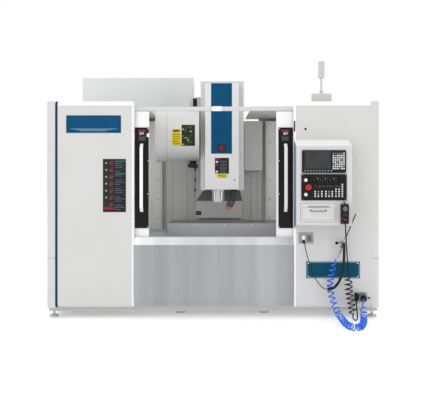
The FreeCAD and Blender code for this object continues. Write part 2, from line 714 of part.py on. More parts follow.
def x_axis_drive():
    """The saddle's two rails and the table's servo motor."""
    low = S.x_rail_centre - S.x_rail_reach
    rails = [rail("X", (low, S.saddle_centre + side * S.x_rail_half, S.saddle_top), 2 * S.x_rail_reach)
             for side in (-1, 1)]
    return group(rails + [servo("X", (low + 2 * S.x_rail_reach, S.saddle_centre, S.x_screw_up))])


def table():
    """The work table: a slotted plate with front and rear skirts, and its bearing blocks and screw bracket."""
    x = (S.table_centre - S.table_half, S.table_centre + S.table_half)
    y = S.saddle_centre
    half = S.table_depth / 2
    plate_bottom = S.table_top - S.table_plate
    plate = span(x, (y - half, y + half), (plate_bottom, S.table_top))
    skirts = [
        span(x, (y - half, y - half + S.skirt_wall), (S.table_top - S.table_skirt, S.table_top)),
        span(x, (y + half - S.skirt_wall, y + half), (S.table_top - S.table_skirt, S.table_top)),
    ]
    slots = []
    for i in range(-2, 3):
        line = y + S.slot_pitch * i
        over = (x[0] - 1, x[1] + 1)
        slots.append(span(over, (line - S.slot_width / 2, line + S.slot_width / 2),
                          (S.table_top - S.slot_neck - 1, S.table_top + 1)))
        slots.append(span(over, (line - S.slot_foot / 2, line + S.slot_foot / 2),
                          (S.table_top - S.slot_depth, S.table_top - S.slot_neck)))
    gap = S.slide_gap
    half_rail = S.rail_width / 2 + gap
    blocks = []
    for centre in (S.table_centre - S.table_block_reach, S.table_centre + S.table_block_reach):
        for line in (y - S.x_rail_half, y + S.x_rail_half):
            block = span((centre - S.block_half, centre + S.block_half),
                         (line - half_rail - S.block_wall, line + half_rail + S.block_wall),
                         (S.saddle_top + 8, plate_bottom))
            slot = span((centre - S.block_half - 1, centre + S.block_half + 1),
                        (line - half_rail, line + half_rail),
                        (S.saddle_top, S.saddle_top + S.rail_height + gap))
            blocks.append(cut(block, [slot]))
    nut = span((S.table_centre - 45, S.table_centre + 45), (y - 40, y + 40), (S.saddle_top + 10, plate_bottom))
    bore = rod("X", (S.table_centre - 50, y, S.x_screw_up), S.screw_radius + S.screw_run, 100)
    return cut(union([plate] + skirts + blocks + [nut]), slots + [bore])


# --- head and spindle --------------------------------------------------------------------------------------


def head_casting():
    """The head: a cast arm from the slide on the column to the spindle's bore, with its bearing blocks."""
    x = S.core_x
    arm = span((x - S.casting_half, x + S.casting_half), (S.casting_front, S.slide_front),
               (S.casting_bottom, S.casting_top))
    slide = span((x - S.slide_half, x + S.slide_half), (S.slide_front, S.slide_rear),
                 (S.slide_bottom, S.slide_top))
    gap = S.slide_gap
    half_rail = S.rail_width / 2 + gap
    blocks = []
    for side in (-1, 1):
        line = x + side * S.z_rail_half
        for low in (S.slide_bottom, S.slide_top - 2 * S.block_half):
            block = span((line - half_rail - S.block_wall, line + half_rail + S.block_wall),
                         (S.slide_rear, S.column_front - 8), (low, low + 2 * S.block_half))
            slot = span((line - half_rail, line + half_rail),
                        (S.column_front - S.rail_height - gap, S.column_front),
                        (low - 1, low + 2 * S.block_half + 1))
            blocks.append(cut(block, [slot]))
    nut = span((x - 42, x + 42), (S.slide_rear, S.column_front - 2), (S.slide_bottom + 270, S.slide_bottom + 370))
    nut_bore = rod("Z", (x, S.z_screw_back, S.slide_bottom + 265), S.screw_radius + S.screw_run, 110)
    bars = [
        span((S.cover_left + S.skin, S.cover_right - S.skin), (100, 160), (low, low + 40))
        for low in (S.casting_bottom + 60, S.casting_top - 60)
    ]
    bore = rod("Z", (S.spindle_x, S.spindle_y, S.casting_bottom - 5), S.cartridge_radius,
               S.casting_top - S.casting_bottom + 10)
    foot = span((x - S.slide_half + 30, x + S.slide_half - 30), (S.slide_rear, S.slide_rear + S.skin),
                (S.cover_box_shoulder - 20, S.slide_bottom + 20))
    return cut(union([arm, slide, foot, nut] + bars + blocks), [bore, nut_bore])


def head_cover():
    """The wide sheet cover round the head: two sides, a top and the returns beside the front cover."""
    left, right = S.cover_left, S.cover_right
    front, rear = S.cover_front, S.cover_rear
    wall, lap = S.skin, 8
    high = (S.cover_bottom, S.cover_top - wall)
    return group([
        span((left, left + wall), (front, rear), high),
        span((right - wall, right), (front, rear), high),
        span((left + wall, S.face_left + lap), (front, front + wall), high),
        span((S.face_right - lap, right - wall), (front, front + wall), high),
        span((S.face_left + lap, S.face_right - lap), (front, front + wall), (S.face_top - lap, high[1])),
        span((left, right), (front, rear), (high[1], S.cover_top)),
    ])


def head_front_cover():
    """The front cover over the spindle motor and belt space: a rounded box, open at the back."""
    body = pad_body("XY_Plane", rectangle((S.face_left, S.face_right), (S.face_front, S.cover_front)),
                    S.face_bottom, S.face_top)
    middle = (S.face_top - S.face_bottom) / 2
    round_edges(body, lambda p: near(p.y, S.face_front) and near(p.z, middle), S.jamb_round / 3)
    return hollow(body, lambda normal, centre: normal.y > 0.9, S.skin)


def spindle_cartridge():
    """The spindle's housing: a nose, a bolted flange and a body that fills the head's bore."""
    axis = (S.spindle_x, S.spindle_y)
    low = S.nose_bottom + S.nose_ring
    flange_bottom = S.casting_bottom - S.flange_height
    nose = rod("Z", (*axis, low), S.nose_radius, flange_bottom - low)
    flange = rod("Z", (*axis, flange_bottom), S.flange_radius, S.flange_height)
    body = rod("Z", (*axis, S.casting_bottom), S.cartridge_radius, S.cartridge_top - S.casting_bottom)
    bore = rod("Z", (*axis, low - 5), S.shaft_radius + S.shaft_gap, S.cartridge_top - low + 10)
    return cut(union([nose, flange, body]), [bore])


def spindle_shaft():
    """The turning spindle: a nose with a steep taper and two drive keys, and a hollow shaft behind it."""
    axis = (S.spindle_x, S.spindle_y)
    shaft = rod("Z", (*axis, S.nose_bottom + S.nose_ring), S.shaft_radius, S.cartridge_top - S.nose_bottom - 25)
    nose = rod("Z", (*axis, S.nose_bottom), S.nose_radius - 10, S.nose_ring - 0.5)
    neck = rod("Z", (*axis, S.nose_bottom + S.nose_ring - 1), S.shaft_radius, 2)
    keys = [
        span((S.spindle_x + low, S.spindle_x + high), (S.spindle_y - 8, S.spindle_y + 8),
             (S.nose_bottom - 7, S.nose_bottom + 2))
        for low, high in ((-48, -26), (26, 48))
    ]
    taper = cone("Z", (*axis, S.nose_bottom), S.taper_radius, S.drawbar_radius, S.taper_depth)
    bore = rod("Z", (*axis, S.nose_bottom - 1), S.drawbar_radius, S.cartridge_top - S.nose_bottom + 20)
    return cut(union([shaft, nose, neck] + keys), [taper, bore])


def spindle_motor():
    """The spindle's motor, direct on top of the head."""
    half = S.spindle_motor_width / 2
    block = span((S.spindle_x - half, S.spindle_x + half), (S.spindle_y - half, S.spindle_y + half),
                 (S.casting_top, S.spindle_motor_top))
    hollow_end = rod("Z", (S.spindle_x, S.spindle_y, S.casting_top - 1), S.shaft_radius + 12, 30)
    return cut(block, [hollow_end])


def coolant_nozzles():
    """A manifold under the head with two jointed hoses that aim at the tool."""
    x, y = S.cover_right - 100, S.spindle_y
    top = S.casting_bottom
    manifold = span((x - 45, x + 20), (y - 40, y + 40), (top - 34, top))
    hoses = []
    for lead, out in ((-22, -30), (22, 20)):
        points = [(x, y + lead, top - 30), (x + 6, y + lead, top - 90), (x - 10, y + lead + out / 4, top - 160),
                  (x - 90 + out / 4, y + lead / 2, S.nozzle_tip)]
        for start, finish in zip(points, points[1:]):
            hoses.append(strut(start, finish, S.nozzle_radius))
        hoses += [ball(point, S.nozzle_radius * 1.25) for point in points[1:3]]
    return union([manifold] + hoses)


def ball(spot, radius):
    """A sphere at a point."""
    item = doc.addObject("Part::Sphere", "Ball")
    bind(item, "Radius", radius)
    return place(item, spot)


# --- tool magazine and changer -----------------------------------------------------------------------------


def magazine_cover():
    """The drum-shaped cover of the magazine, open below the changer, behind for the bracket and on top for
    the drive."""
    left, right = S.drum_left, S.drum_right
    shell = cut(
        rod("X", (left, S.drum_y, S.drum_z), S.drum_radius, right - left),
        [rod("X", (left + S.skin, S.drum_y, S.drum_z), S.drum_radius - S.skin, right - left - 2 * S.skin)],
    )
    below = span((S.arm_x - 60, S.arm_x + 60), (S.drum_y - 60, S.drum_y + 60),
                 (S.drum_z - S.drum_radius - 10, S.drum_z - S.drum_radius + 60))
    behind = span((S.changer_left - 5, S.changer_right - 20), (S.drum_y + 200, S.drum_y + S.drum_radius + 20),
                  (S.drum_z - 165, S.drum_z + 165))
    above = span((S.arm_x - 65, S.arm_x + 65), (S.drum_y - 65, S.drum_y + 65),
                 (S.drum_z + S.drum_radius - 60, S.drum_z + S.drum_radius + 10))
    return cut(shell, [below, behind, above])


def tool_changer_box():
    """The cam box that drives the changer's arm, its bracket to the column's side, and its motor on top."""
    box_ = span((S.changer_left, S.changer_right), (S.drum_y - S.changer_half, S.drum_y + S.changer_half),
                (S.drum_z - 200, S.drum_z + 200))
    neck = rod("Z", (S.arm_x, S.drum_y, S.changer_bottom), S.hub_radius + 12, S.drum_z - 195 - S.changer_bottom)
    reach = span((S.changer_left + 60, S.strip_outer - 10), (S.drum_y + S.changer_half, S.column_front + 40),
                 (S.drum_z - 140, S.drum_z + 140))
    foot = span((S.changer_left + 60, S.core_x - S.column_half),
                (S.column_front + 20, S.column_front + 110), (S.drum_z - 140, S.drum_z + 140))
    motor = span((S.arm_x - 32, S.arm_x + 32), (S.drum_y - 32, S.drum_y + 32),
                 (S.drum_z + 200, S.drum_z + S.drum_radius + 90))
    bore = rod("X", (S.changer_left - 1, S.drum_y, S.drum_z), 30.3, 80)
    return cut(union([box_, neck, reach, foot, motor]), [bore])


def magazine_disc():
    """The tool disc on its axle, with a ring of empty tool pots on its left face."""
    centre = (S.drum_y, S.drum_z)
    disc = rod("X", (S.disc_left, *centre), S.disc_radius + 20, S.disc_thick)
    axle = rod("X", (S.disc_left + S.disc_thick, *centre), 30, S.changer_left + 70 - S.disc_left - S.disc_thick)
    pots = []
    count = int(S.pot_count.value)
    for i in range(count):
        turn = 2 * math.pi * i / count
        y = S.drum_y + S.pot_ring * math.sin(turn)
        z = S.drum_z - S.pot_ring * math.cos(turn)
        pot = rod("X", (S.disc_left - S.pot_length, y, z), S.pot_radius, S.pot_length + 2)
        socket = cone("X", (S.disc_left - S.pot_length - 1, y, z), S.taper_radius, S.drawbar_radius, 66)
        pots.append(cut(pot, [socket]))
    return union([disc, axle] + pots)


def tool_change_arm():
    """The changer's arm: a hub and a bar with an open jaw at each end, parked along Y."""
    y = S.spindle_y
    low = S.arm_bottom
    hub = rod("Z", (S.arm_x, y, low - 3), S.hub_radius, S.changer_bottom - low + 3 - S.slide_gap)
    bar = span((S.arm_x - 24, S.arm_x + 24), (y - S.arm_reach, y + S.arm_reach), (low, low + S.arm_thick))
    jaws = []
    mouths = []
    for side in (-1, 1):
        jaws.append(rod("Z", (S.arm_x, y + side * S.arm_reach, low), 46, S.arm_thick))
        mouths.append(rod("Z", (S.arm_x, y + side * S.arm_reach, low - 1), 31, S.arm_thick + 2))
        near_end, far_end = y + side * S.arm_reach, y + side * (S.arm_reach + 60)
        gap = (far_end, near_end) if side < 0 else (near_end, far_end)
        mouths.append(span((S.arm_x - 28 - side, S.arm_x + 50), gap, (low - 1, low + S.arm_thick + 1)))
    return cut(union([hub, bar] + jaws), mouths)


# --- electrical cabinet ------------------------------------------------------------------------------------


def cabinet():
    """The electrical cabinet behind the machine: a box open at the back, with the drives on their plate."""
    back = S.cabinet_rear - S.cabinet_door_thick - S.slide_gap
    body = pad_body("XY_Plane", rectangle((S.cabinet_left, S.cabinet_right), (S.cabinet_front, back)),
                    S.cabinet_bottom, S.cabinet_top)
    hollow(body, lambda normal, centre: normal.y > 0.9, S.cabinet_wall)
    inside = S.cabinet_front + S.cabinet_wall
    plate = span((S.cabinet_left + 80, S.cabinet_right - 80), (inside, inside + S.drive_plate),
                 (S.cabinet_bottom + 250, S.cabinet_top - 200))
    drives = []
    for row in range(3):
        for column in range(5):
            x = S.cabinet_left + 130 + (S.drive_width + 70) * column
            z = S.cabinet_bottom + 330 + (S.drive_height + 190) * row
            drives.append(span((x, x + S.drive_width), (inside + S.drive_plate, inside + S.drive_depth),
                               (z, z + S.drive_height)))
    return group([body, union([plate] + drives)])


def cabinet_door():
    """The cabinet's rear door, hinged on its left edge."""
    leaf = span((S.cabinet_left, S.cabinet_right), (S.cabinet_rear - S.cabinet_door_thick, S.cabinet_rear),
                (S.cabinet_bottom, S.cabinet_top))
    return leaf


# --- operator console --------------------------------------------------------------------------------------


def console_front():
    """The Y of the console's front face."""
    return S.front_face - S.console_reach


def console():
    """The operator console: a sheet housing with sloped top and bottom, a drawer opening and its runners."""
    face = console_front()
    profile = [(S.front_face, S.console_foot), (face, S.console_low), (face, S.console_high),
               (S.front_face, S.console_crown)]
    body = pad_body("YZ_Plane", profile, S.console_left, S.console_right)
    hollow(body, lambda normal, centre: normal.y > 0.9, S.skin)
    lap = S.drawer_lap
    opening = span((S.drawer_left + lap, S.drawer_right - lap), (face - 1, face + S.skin + 1),
                   (S.drawer_bottom + lap, S.drawer_top - lap))
    runners = [
        span((low, low + 13), (face + S.skin, S.front_face), (S.drawer_bottom + 26, S.drawer_bottom + 46))
        for low in (S.drawer_left + lap - 14, S.drawer_right - lap + 1)
    ]
    return group([cut(body, [opening])] + runners)


def console_drawer():
    """The console's drawer: a face plate over the opening and an open tray behind it."""
    back = console_front() - S.slide_gap
    face = span((S.drawer_left, S.drawer_right), (back - S.drawer_face, back), (S.drawer_bottom, S.drawer_top))
    side = S.drawer_lap + 2
    x = (S.drawer_left + side, S.drawer_right - side)
    low, high = S.drawer_bottom + side + 1, S.drawer_top - 71
    tray = span(x, (back, back + S.drawer_depth), (low, high))
    wall = S.drawer_wall
    inside = span((x[0] + wall, x[1] - wall), (back + wall, back + S.drawer_depth - wall), (low + wall, high + 1))
    return cut(union([face, tray]), [inside])


def key(x, z, face):
    """One small square key that stands on a face."""
    half = S.key_size / 2
    return span((x - half, x + half), (face - S.key_proud, face), (z - half, z + half))


def display_unit():
    """The display's frame with its block of keys."""
    face = console_front()
    front = face - S.display_proud
    plate = span((S.display_left, S.display_right), (front, face), (S.display_bottom, S.display_top))
    keys = [key(S.display_right - 119 + 19.6 * i, S.display_bottom + 40 + 20.1 * j, front)
            for i in range(6) for j in range(8)]
    keys += [key(S.display_left + 27 + 27.2 * i, S.display_bottom + 20, front) for i in range(10)]
    return union([plate] + keys)


def operator_panel():
    """The machine operator's panel: keys in rows, two fixed selectors and bores for the push buttons."""
    face = console_front()
    front = face - S.panel_proud
    plate = span((S.panel_left, S.panel_right), (front, face), (S.panel_low, S.panel_high))
    columns = (127, 157, 189, 227, 256, 285, 320, 349, 379)
    rows = [(x, z) for z in (39, 61, 82) for x in columns]
    rows += [(x, 103) for x in columns[6:]] + [(379, 126), (379, 147)]
    keys = [key(S.panel_left + x, S.panel_low + z, front) for x, z in rows]
    dials = [rod("Y", (S.panel_left + x, front - S.knob_height, S.knob_z), S.knob_radius, S.knob_height)
             for x in (90, 364)]
    bores = [
        rod("Y", (S.estop_x, front - 1, S.estop_z), S.shaft_gap + 10, S.panel_proud + 2),
        rod("Y", (S.push_x, front - 1, S.start_z), S.push_radius + S.shaft_gap, S.panel_proud + 2),
        rod("Y", (S.push_x, front - 1, S.stop_z), S.push_radius + S.shaft_gap, S.panel_proud + 2),
    ]
    return cut(union([plate] + keys + dials), bores)


def estop_button():
    """The mushroom head on its stem."""
    front = console_front() - S.panel_proud
    gap = S.estop_travel + 0.5
    head = rod("Y", (S.estop_x, front - gap - S.estop_height, S.estop_z), S.estop_radius, S.estop_height)
    round_end = rod("Y", (S.estop_x, front - gap - 1, S.estop_z), 10, gap + 2.5)
    return union([head, round_end])


def push_button(z):
    """A round push button in its bore."""
    front = console_front() - S.panel_proud
    return rod("Y", (S.push_x, front - S.push_height, z), S.push_radius, S.push_height + 5.7)


def knob(x):
    """A rotary selector with a grip ridge across its face."""
    front = console_front() - S.panel_proud - S.slide_gap
    disc = rod("Y", (x, front - S.knob_height / 2, S.knob_z), S.knob_radius, S.knob_height / 2)
    ridge = span((x - 4, x + 4), (front - S.knob_height, front - S.knob_height / 2 + 1),
                 (S.knob_z - S.knob_radius + 1, S.knob_z + S.knob_radius - 1))
    return union([disc, ridge])


def pendant_back():
    """The Y of the hand pendant's rear face."""
    return console_front() - S.pendant_gap


def pendant_housing():
    """The hand pendant on its hook."""
    back = pendant_back()
    half = S.pendant_width / 2
    body = pad_body("XY_Plane", rectangle((S.pendant_x - half, S.pendant_x + half), (back - S.pendant_thick, back)),
                    S.pendant_bottom, S.pendant_bottom + S.pendant_height)
    round_edges(body, lambda p: near(p.z, S.pendant_height / 2), 8)
    top = S.pendant_bottom + S.pendant_height
    hook = span((S.pendant_x - 15, S.pendant_x + 15), (back, console_front()), (top - 32, top - 12))
    return group([body, hook])


def pendant_dial():
    """The handwheel of the pendant, with a small crank knob."""
    front = pendant_back() - S.pendant_thick - S.slide_gap
    z = S.pendant_bottom + 139
    wheel = rod("Y", (S.pendant_x, front - S.dial_height, z), S.dial_radius, S.dial_height)
    grip = rod("Y", (S.pendant_x + 16, front - S.dial_height - 6, z + 6), 4, 7)
    return union([wheel, grip])


def pendant_selector(z):
    """One of the pendant's two selectors."""
    front = pendant_back() - S.pendant_thick - S.slide_gap
    disc = rod("Y", (S.pendant_x, front - S.selector_height, z), S.selector_radius, S.selector_height)
    ridge = span((S.pendant_x - 2, S.pendant_x + 2), (front - S.selector_height - 3, front - S.selector_height + 1),
                 (z - S.selector_radius + 1, z + S.selector_radius - 1))
    return union([disc, ridge])


# --- air gun, lamp, plates and cords -----------------------------------------------------------------------


def air_gun():
    """The air gun on its bracket: lance, body and hose tail, hanging in a plane in front of the panel."""
    y = S.front_face - S.gun_out
    start = (S.gun_x, y, S.gun_z)
    grip_end = (S.gun_x - 46, y, S.gun_z - 98)
    parts = [
        strut((S.gun_x - 2, y, S.gun_z - 5), (S.gun_x + 95, y, S.gun_z + 224), S.lance_radius),
        strut(start, grip_end, S.gun_radius),
        strut((S.gun_x - 45, y, S.gun_z - 96), (S.gun_x - 91, y, S.gun_z - 200), S.gun_radius * 0.7),
        rod("Y", (S.gun_x - 23, y - S.hook_reach, S.gun_z - 49), S.hook_radius, S.gun_out + S.hook_reach),
        strut((S.gun_x - 23, y, S.gun_z - 49), (S.gun_x - 86, y, S.gun_z - 52), 5),
        ball((S.gun_x - 86, y, S.gun_z - 52), 15),
    ]
    return union(parts)


def gun_trigger():
    """The air gun's lever, along its body: its head lies on the pivot and its tip stands further out."""
    y = S.front_face - S.gun_out
    across = Vector(98, 0, -46).normalize()
    near_end, far_end = S.gun_radius + S.lever_radius + S.slide_gap, S.gun_radius * 2
    return strut((S.gun_x + near_end * across.x, y, S.gun_z + near_end * across.z),
                 (S.gun_x - 46 + far_end * across.x, y, S.gun_z - 98 + far_end * across.z), S.lever_radius)


def signal_lamp():
    """The stacked signal lamp on its stand."""
    x, y = S.lamp_x, S.lamp_y
    base = S.roof_height + S.skin
    stand = span((x - 93, x + 96), (y - 40, y + 40), (base, base + 142))
    pole = rod("Z", (x, y, base + 141), S.lamp_pole, 162)
    collar = rod("Z", (x, y, base + 142), S.lamp_pole * 2, 30)
    rings = [rod("Z", (x, y, base + 301 + (S.lamp_ring + 4) * i), S.lamp_radius, S.lamp_ring + 4)
             for i in range(3)]
    return union([stand, collar, pole] + rings)


def wall_fittings():
    """Bare plates on the front panels, outlet plates with their sockets, and the hook for the cord."""
    front = S.front_face
    thick = S.plate_thick
    bounds = (
        (-1403, -880, 1784, 1951), (-1052, -833, 1027, 1534), (891, 1404, 395, 553),
        (817, 961, 726, 831), (1356, 1470, 181, 258),
    )
    parts = [span((left, right), (front - thick, front), (low, high)) for left, right, low, high in bounds]
    parts += [
        rod("Y", (865, front - 35, 745), 14, 35 - thick),
        rod("Y", (1427, front - 50, 212), 41, 50 - thick),
        span((1352, 1380), (front - 41, front - thick), (178, 255)),
    ]
    return group(parts)


AIR_LEAD = [(1166, -1125, 590), (1160, -1125, 576.4), (1150, -1123, 562), (1146, -1122, 546)]
AIR_COIL = [
    (1146, -1122, 546), (1131, -1118.25, 486), (1110, -1114, 400), (1106, -1114, 320), (1122, -1120, 235),
    (1146, -1138, 160), (1168, -1195, 90), (1192, -1280, 50), (1198, -1380, 38), (1202, -1480, 38),
    (1214, -1565, 38), (1252, -1615, 38), (1302, -1590, 38), (1338, -1500, 38), (1366, -1400, 38),
    (1388, -1315, 40), (1402, -1245, 62), (1410, -1200, 105), (1414, -1170, 160),
]
AIR_TAIL = [
    (1414, -1170, 160), (1415.4, -1159.5, 179.3), (1420, -1141, 203), (1427, -1120, 212), (1427, -1100, 212),
]
PENDANT_LEAD = [
    (1225, -1284, 930), (1225, -1284, 890), (1232, -1262, 820), (1244, -1215, 745), (1256, -1175, 670),
    (1266, -1150, 590), (1276, -1136, 500), (1279, -1130, 411),
]
PENDANT_COIL = [
    (1279, -1130, 411), (1281.25, -1125.5, 344.25), (1287, -1128, 270), (1297, -1136, 203),
    (1308, -1147, 138), (1312, -1160, 68),
]
PENDANT_TAIL = [
    (1312, -1160, 68), (1313.1, -1163.6, 48.7), (1319, -1169, 30), (1332, -1171, 16), (1350, -1163, 12),
    (1363, -1144, 26), (1368, -1118, 58), (1368, -1092, 98), (1366, -1072, 138), (1366, -1072, 178),
]
SERVICE_LEAD = [
    (865, -1085, 745), (865, -1110, 745), (868, -1126, 722), (876, -1128, 680), (892, -1118, 615),
    (917, -1110, 530), (942, -1112, 462), (972, -1116, 396), (1006, -1131, 345), (1047.2, -1151, 305.8),
    (1078, -1162, 308),
]
SERVICE_SLEEVE = [
    (1078, -1162, 308), (1106, -1172, 310), (1134, -1179, 322), (1159, -1182, 345), (1181, -1181, 377),
    (1200, -1177, 415), (1216, -1171, 465), (1227, -1166, 525), (1233, -1161, 600), (1234, -1160, 668),
    (1234, -1160.5, 733),
]

# --- the sub-parts -----------------------------------------------------------------------------------------

node("machine_bed", machine_bed())
node("levelling_feet", levelling_feet())
node("column", column())
node("yz_axis_drives", yz_axis_drives())
node("coolant_tank", coolant_tank())
node("enclosure_frame", enclosure_frame())
node("left_panel", front_panel(S.left_face, S.left_jamb, S.left_jamb))
node("accent_strip", front_panel(S.stripe_left, S.left_face))
node("outer_panels", outer_panels())
node("right_panel", front_panel(S.right_jamb, S.right_face, S.right_jamb))
node("apron", apron())
node("inner_guards", inner_guards())
node("column_cover", column_cover())
node("magazine_cover", magazine_cover())
node("tool_changer_box", tool_changer_box())
node("cabinet", cabinet())
node("console", console())
node("display_unit", display_unit())
node("operator_panel", operator_panel())
node("pendant_housing", pendant_housing())
node("air_gun", air_gun())
node("signal_lamp", signal_lamp())
node("wall_fittings", wall_fittings())
node("air_lead", group([tube("air lead", AIR_LEAD, 4), tube("air tail", AIR_TAIL, 4)]))
node("air_coil", tube("air coil", AIR_COIL, 35))
node("pendant_lead", group([tube("pendant lead", PENDANT_LEAD, 3.5), tube("pendant tail", PENDANT_TAIL, 3.5)]))
node("pendant_coil", tube("pendant coil", PENDANT_COIL, 40))
node("service_cord", group([tube("service lead", SERVICE_LEAD, 3.5), tube("service sleeve", SERVICE_SLEEVE, 13)]))
node("left_door", door_panel(S.door_open_left, 1))
node("left_window", door_glass(S.door_open_left, 1))
node("left_handle", door_handle(S.door_open_left, 1))
node("right_door", door_panel(S.door_open_right, -1))
node("right_window", door_glass(S.door_open_right, -1))
node("right_handle", door_handle(S.door_open_right, -1))
node("saddle", saddle())
node("x_axis_drive", x_axis_drive())
node("table", table())
node("head_casting", head_casting())
node("head_cover", head_cover())
node("head_front_cover", head_front_cover())
node("spindle_cartridge", group([spindle_cartridge(), spindle_motor()]))
node("spindle_shaft", spindle_shaft())
node("coolant_nozzles", coolant_nozzles())
node("magazine_disc", magazine_disc())
node("tool_change_arm", tool_change_arm())
node("x_ballscrew", screw("X", (S.x_rail_centre - S.x_rail_reach + 2, S.saddle_centre, S.x_screw_up),
                          2 * S.x_rail_reach - 4))
node("y_ballscrew", screw("Y", (S.core_x, S.bed_front + 2, S.y_screw_up), S.y_rail_rear - S.bed_front + 11))
node("z_ballscrew", screw("Z", (S.core_x, S.z_screw_back, S.z_rail_bottom + 2),
                          S.column_top - S.z_rail_bottom - 4))
node("cabinet_door", cabinet_door())
node("estop_button", estop_button())
node("start_button", push_button(S.start_z))
node("stop_button", push_button(S.stop_z))
node("mode_knob", knob(S.panel_left + 150))
node("feed_knob", knob(S.panel_left + 220))
node("spindle_knob", knob(S.panel_left + 299))
node("console_drawer", console_drawer())
node("handwheel_dial", pendant_dial())
node("axis_selector", pendant_selector(S.pendant_bottom + 72))
node("step_selector", pendant_selector(S.pendant_bottom + 30))
node("gun_trigger", gun_trigger())

doc.recompute()

# --- checks and export -------------------------------------------------------------------------------------

for item in doc.Objects:
    if "Invalid" in item.State or "Error" in item.State:
        users = [user.Label for user in item.InList]
        raise RuntimeError(f"{item.Name} in {users} did not compute: {item.State}")
    if hasattr(item, "Shape") and (item.Shape.isNull() or not item.Shape.isValid()):
        if item.TypeId not in ("App::Line", "App::Plane", "App::Point"):
            raise RuntimeError(f"{item.Name} ({item.Label}) has no valid shape")

CORDS = ("air_lead", "air_coil", "pendant_lead", "pendant_coil", "service_cord")
bounds = FreeCAD.BoundBox()
volume = 0
os.makedirs("parts", exist_ok=True)
for name, item in NODES.items():
    shape = item.Shape
    if name not in CORDS:
        bounds.add(shape.BoundBox)
        volume += shape.Volume
    shape.exportStep(os.path.join("parts", name + ".step"))
print(f"{len(NODES)} sub-parts, solid volume {volume / 1e9:.4f} m3")
print(f"X {bounds.XMin:.2f} {bounds.XMax:.2f}  Y {bounds.YMin:.2f} {bounds.YMax:.2f}  "
      f"Z {bounds.ZMin:.2f} {bounds.ZMax:.2f}")
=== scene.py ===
"""The look of a vertical machining centre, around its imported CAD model.

Metres, Z up, -Y towards the operator. Small parts are drawn with lengths in millimetres and scaled by MM.
"""
import math

import bmesh
import bpy
from mathutils import Matrix, Vector


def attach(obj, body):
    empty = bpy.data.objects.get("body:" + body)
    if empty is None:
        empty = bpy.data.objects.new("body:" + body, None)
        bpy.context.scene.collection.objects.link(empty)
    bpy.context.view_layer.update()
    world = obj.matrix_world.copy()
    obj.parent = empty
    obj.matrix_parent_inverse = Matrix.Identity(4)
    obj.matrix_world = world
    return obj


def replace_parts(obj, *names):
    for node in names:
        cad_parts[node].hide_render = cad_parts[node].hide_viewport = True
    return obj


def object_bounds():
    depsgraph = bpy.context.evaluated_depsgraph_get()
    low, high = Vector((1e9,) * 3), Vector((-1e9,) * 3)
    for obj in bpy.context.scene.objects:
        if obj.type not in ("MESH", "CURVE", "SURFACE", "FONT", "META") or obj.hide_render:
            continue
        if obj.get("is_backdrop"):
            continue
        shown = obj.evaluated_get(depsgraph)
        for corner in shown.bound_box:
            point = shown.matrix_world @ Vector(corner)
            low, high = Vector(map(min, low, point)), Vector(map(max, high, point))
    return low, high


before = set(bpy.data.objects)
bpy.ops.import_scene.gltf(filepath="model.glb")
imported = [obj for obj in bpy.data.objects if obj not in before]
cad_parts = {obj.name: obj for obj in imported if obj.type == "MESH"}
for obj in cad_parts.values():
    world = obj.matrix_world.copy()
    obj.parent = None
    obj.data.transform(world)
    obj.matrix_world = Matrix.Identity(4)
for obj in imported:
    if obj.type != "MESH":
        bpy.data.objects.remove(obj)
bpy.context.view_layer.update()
MM = 0.001  # metres in a millimetre
scene = bpy.context.scene

# --- camera ------------------------------------------------------------------------------------------------

IMAGE_WIDTH = 423
camera_data = bpy.data.cameras.new("camera")
camera_data.sensor_width = 36
camera_data.lens = 62.3
camera_data.shift_x = -1.5 / IMAGE_WIDTH
camera_data.shift_y = -23 / IMAGE_WIDTH
camera_data.clip_end = 100
camera = bpy.data.objects.new("camera", camera_data)
camera.location = (0, -8.05, 1.362)
camera.rotation_euler = (math.pi / 2, 0, 0)
scene.collection.objects.link(camera)
scene.camera = camera


# --- materials ---------------------------------------------------------------------------------------------


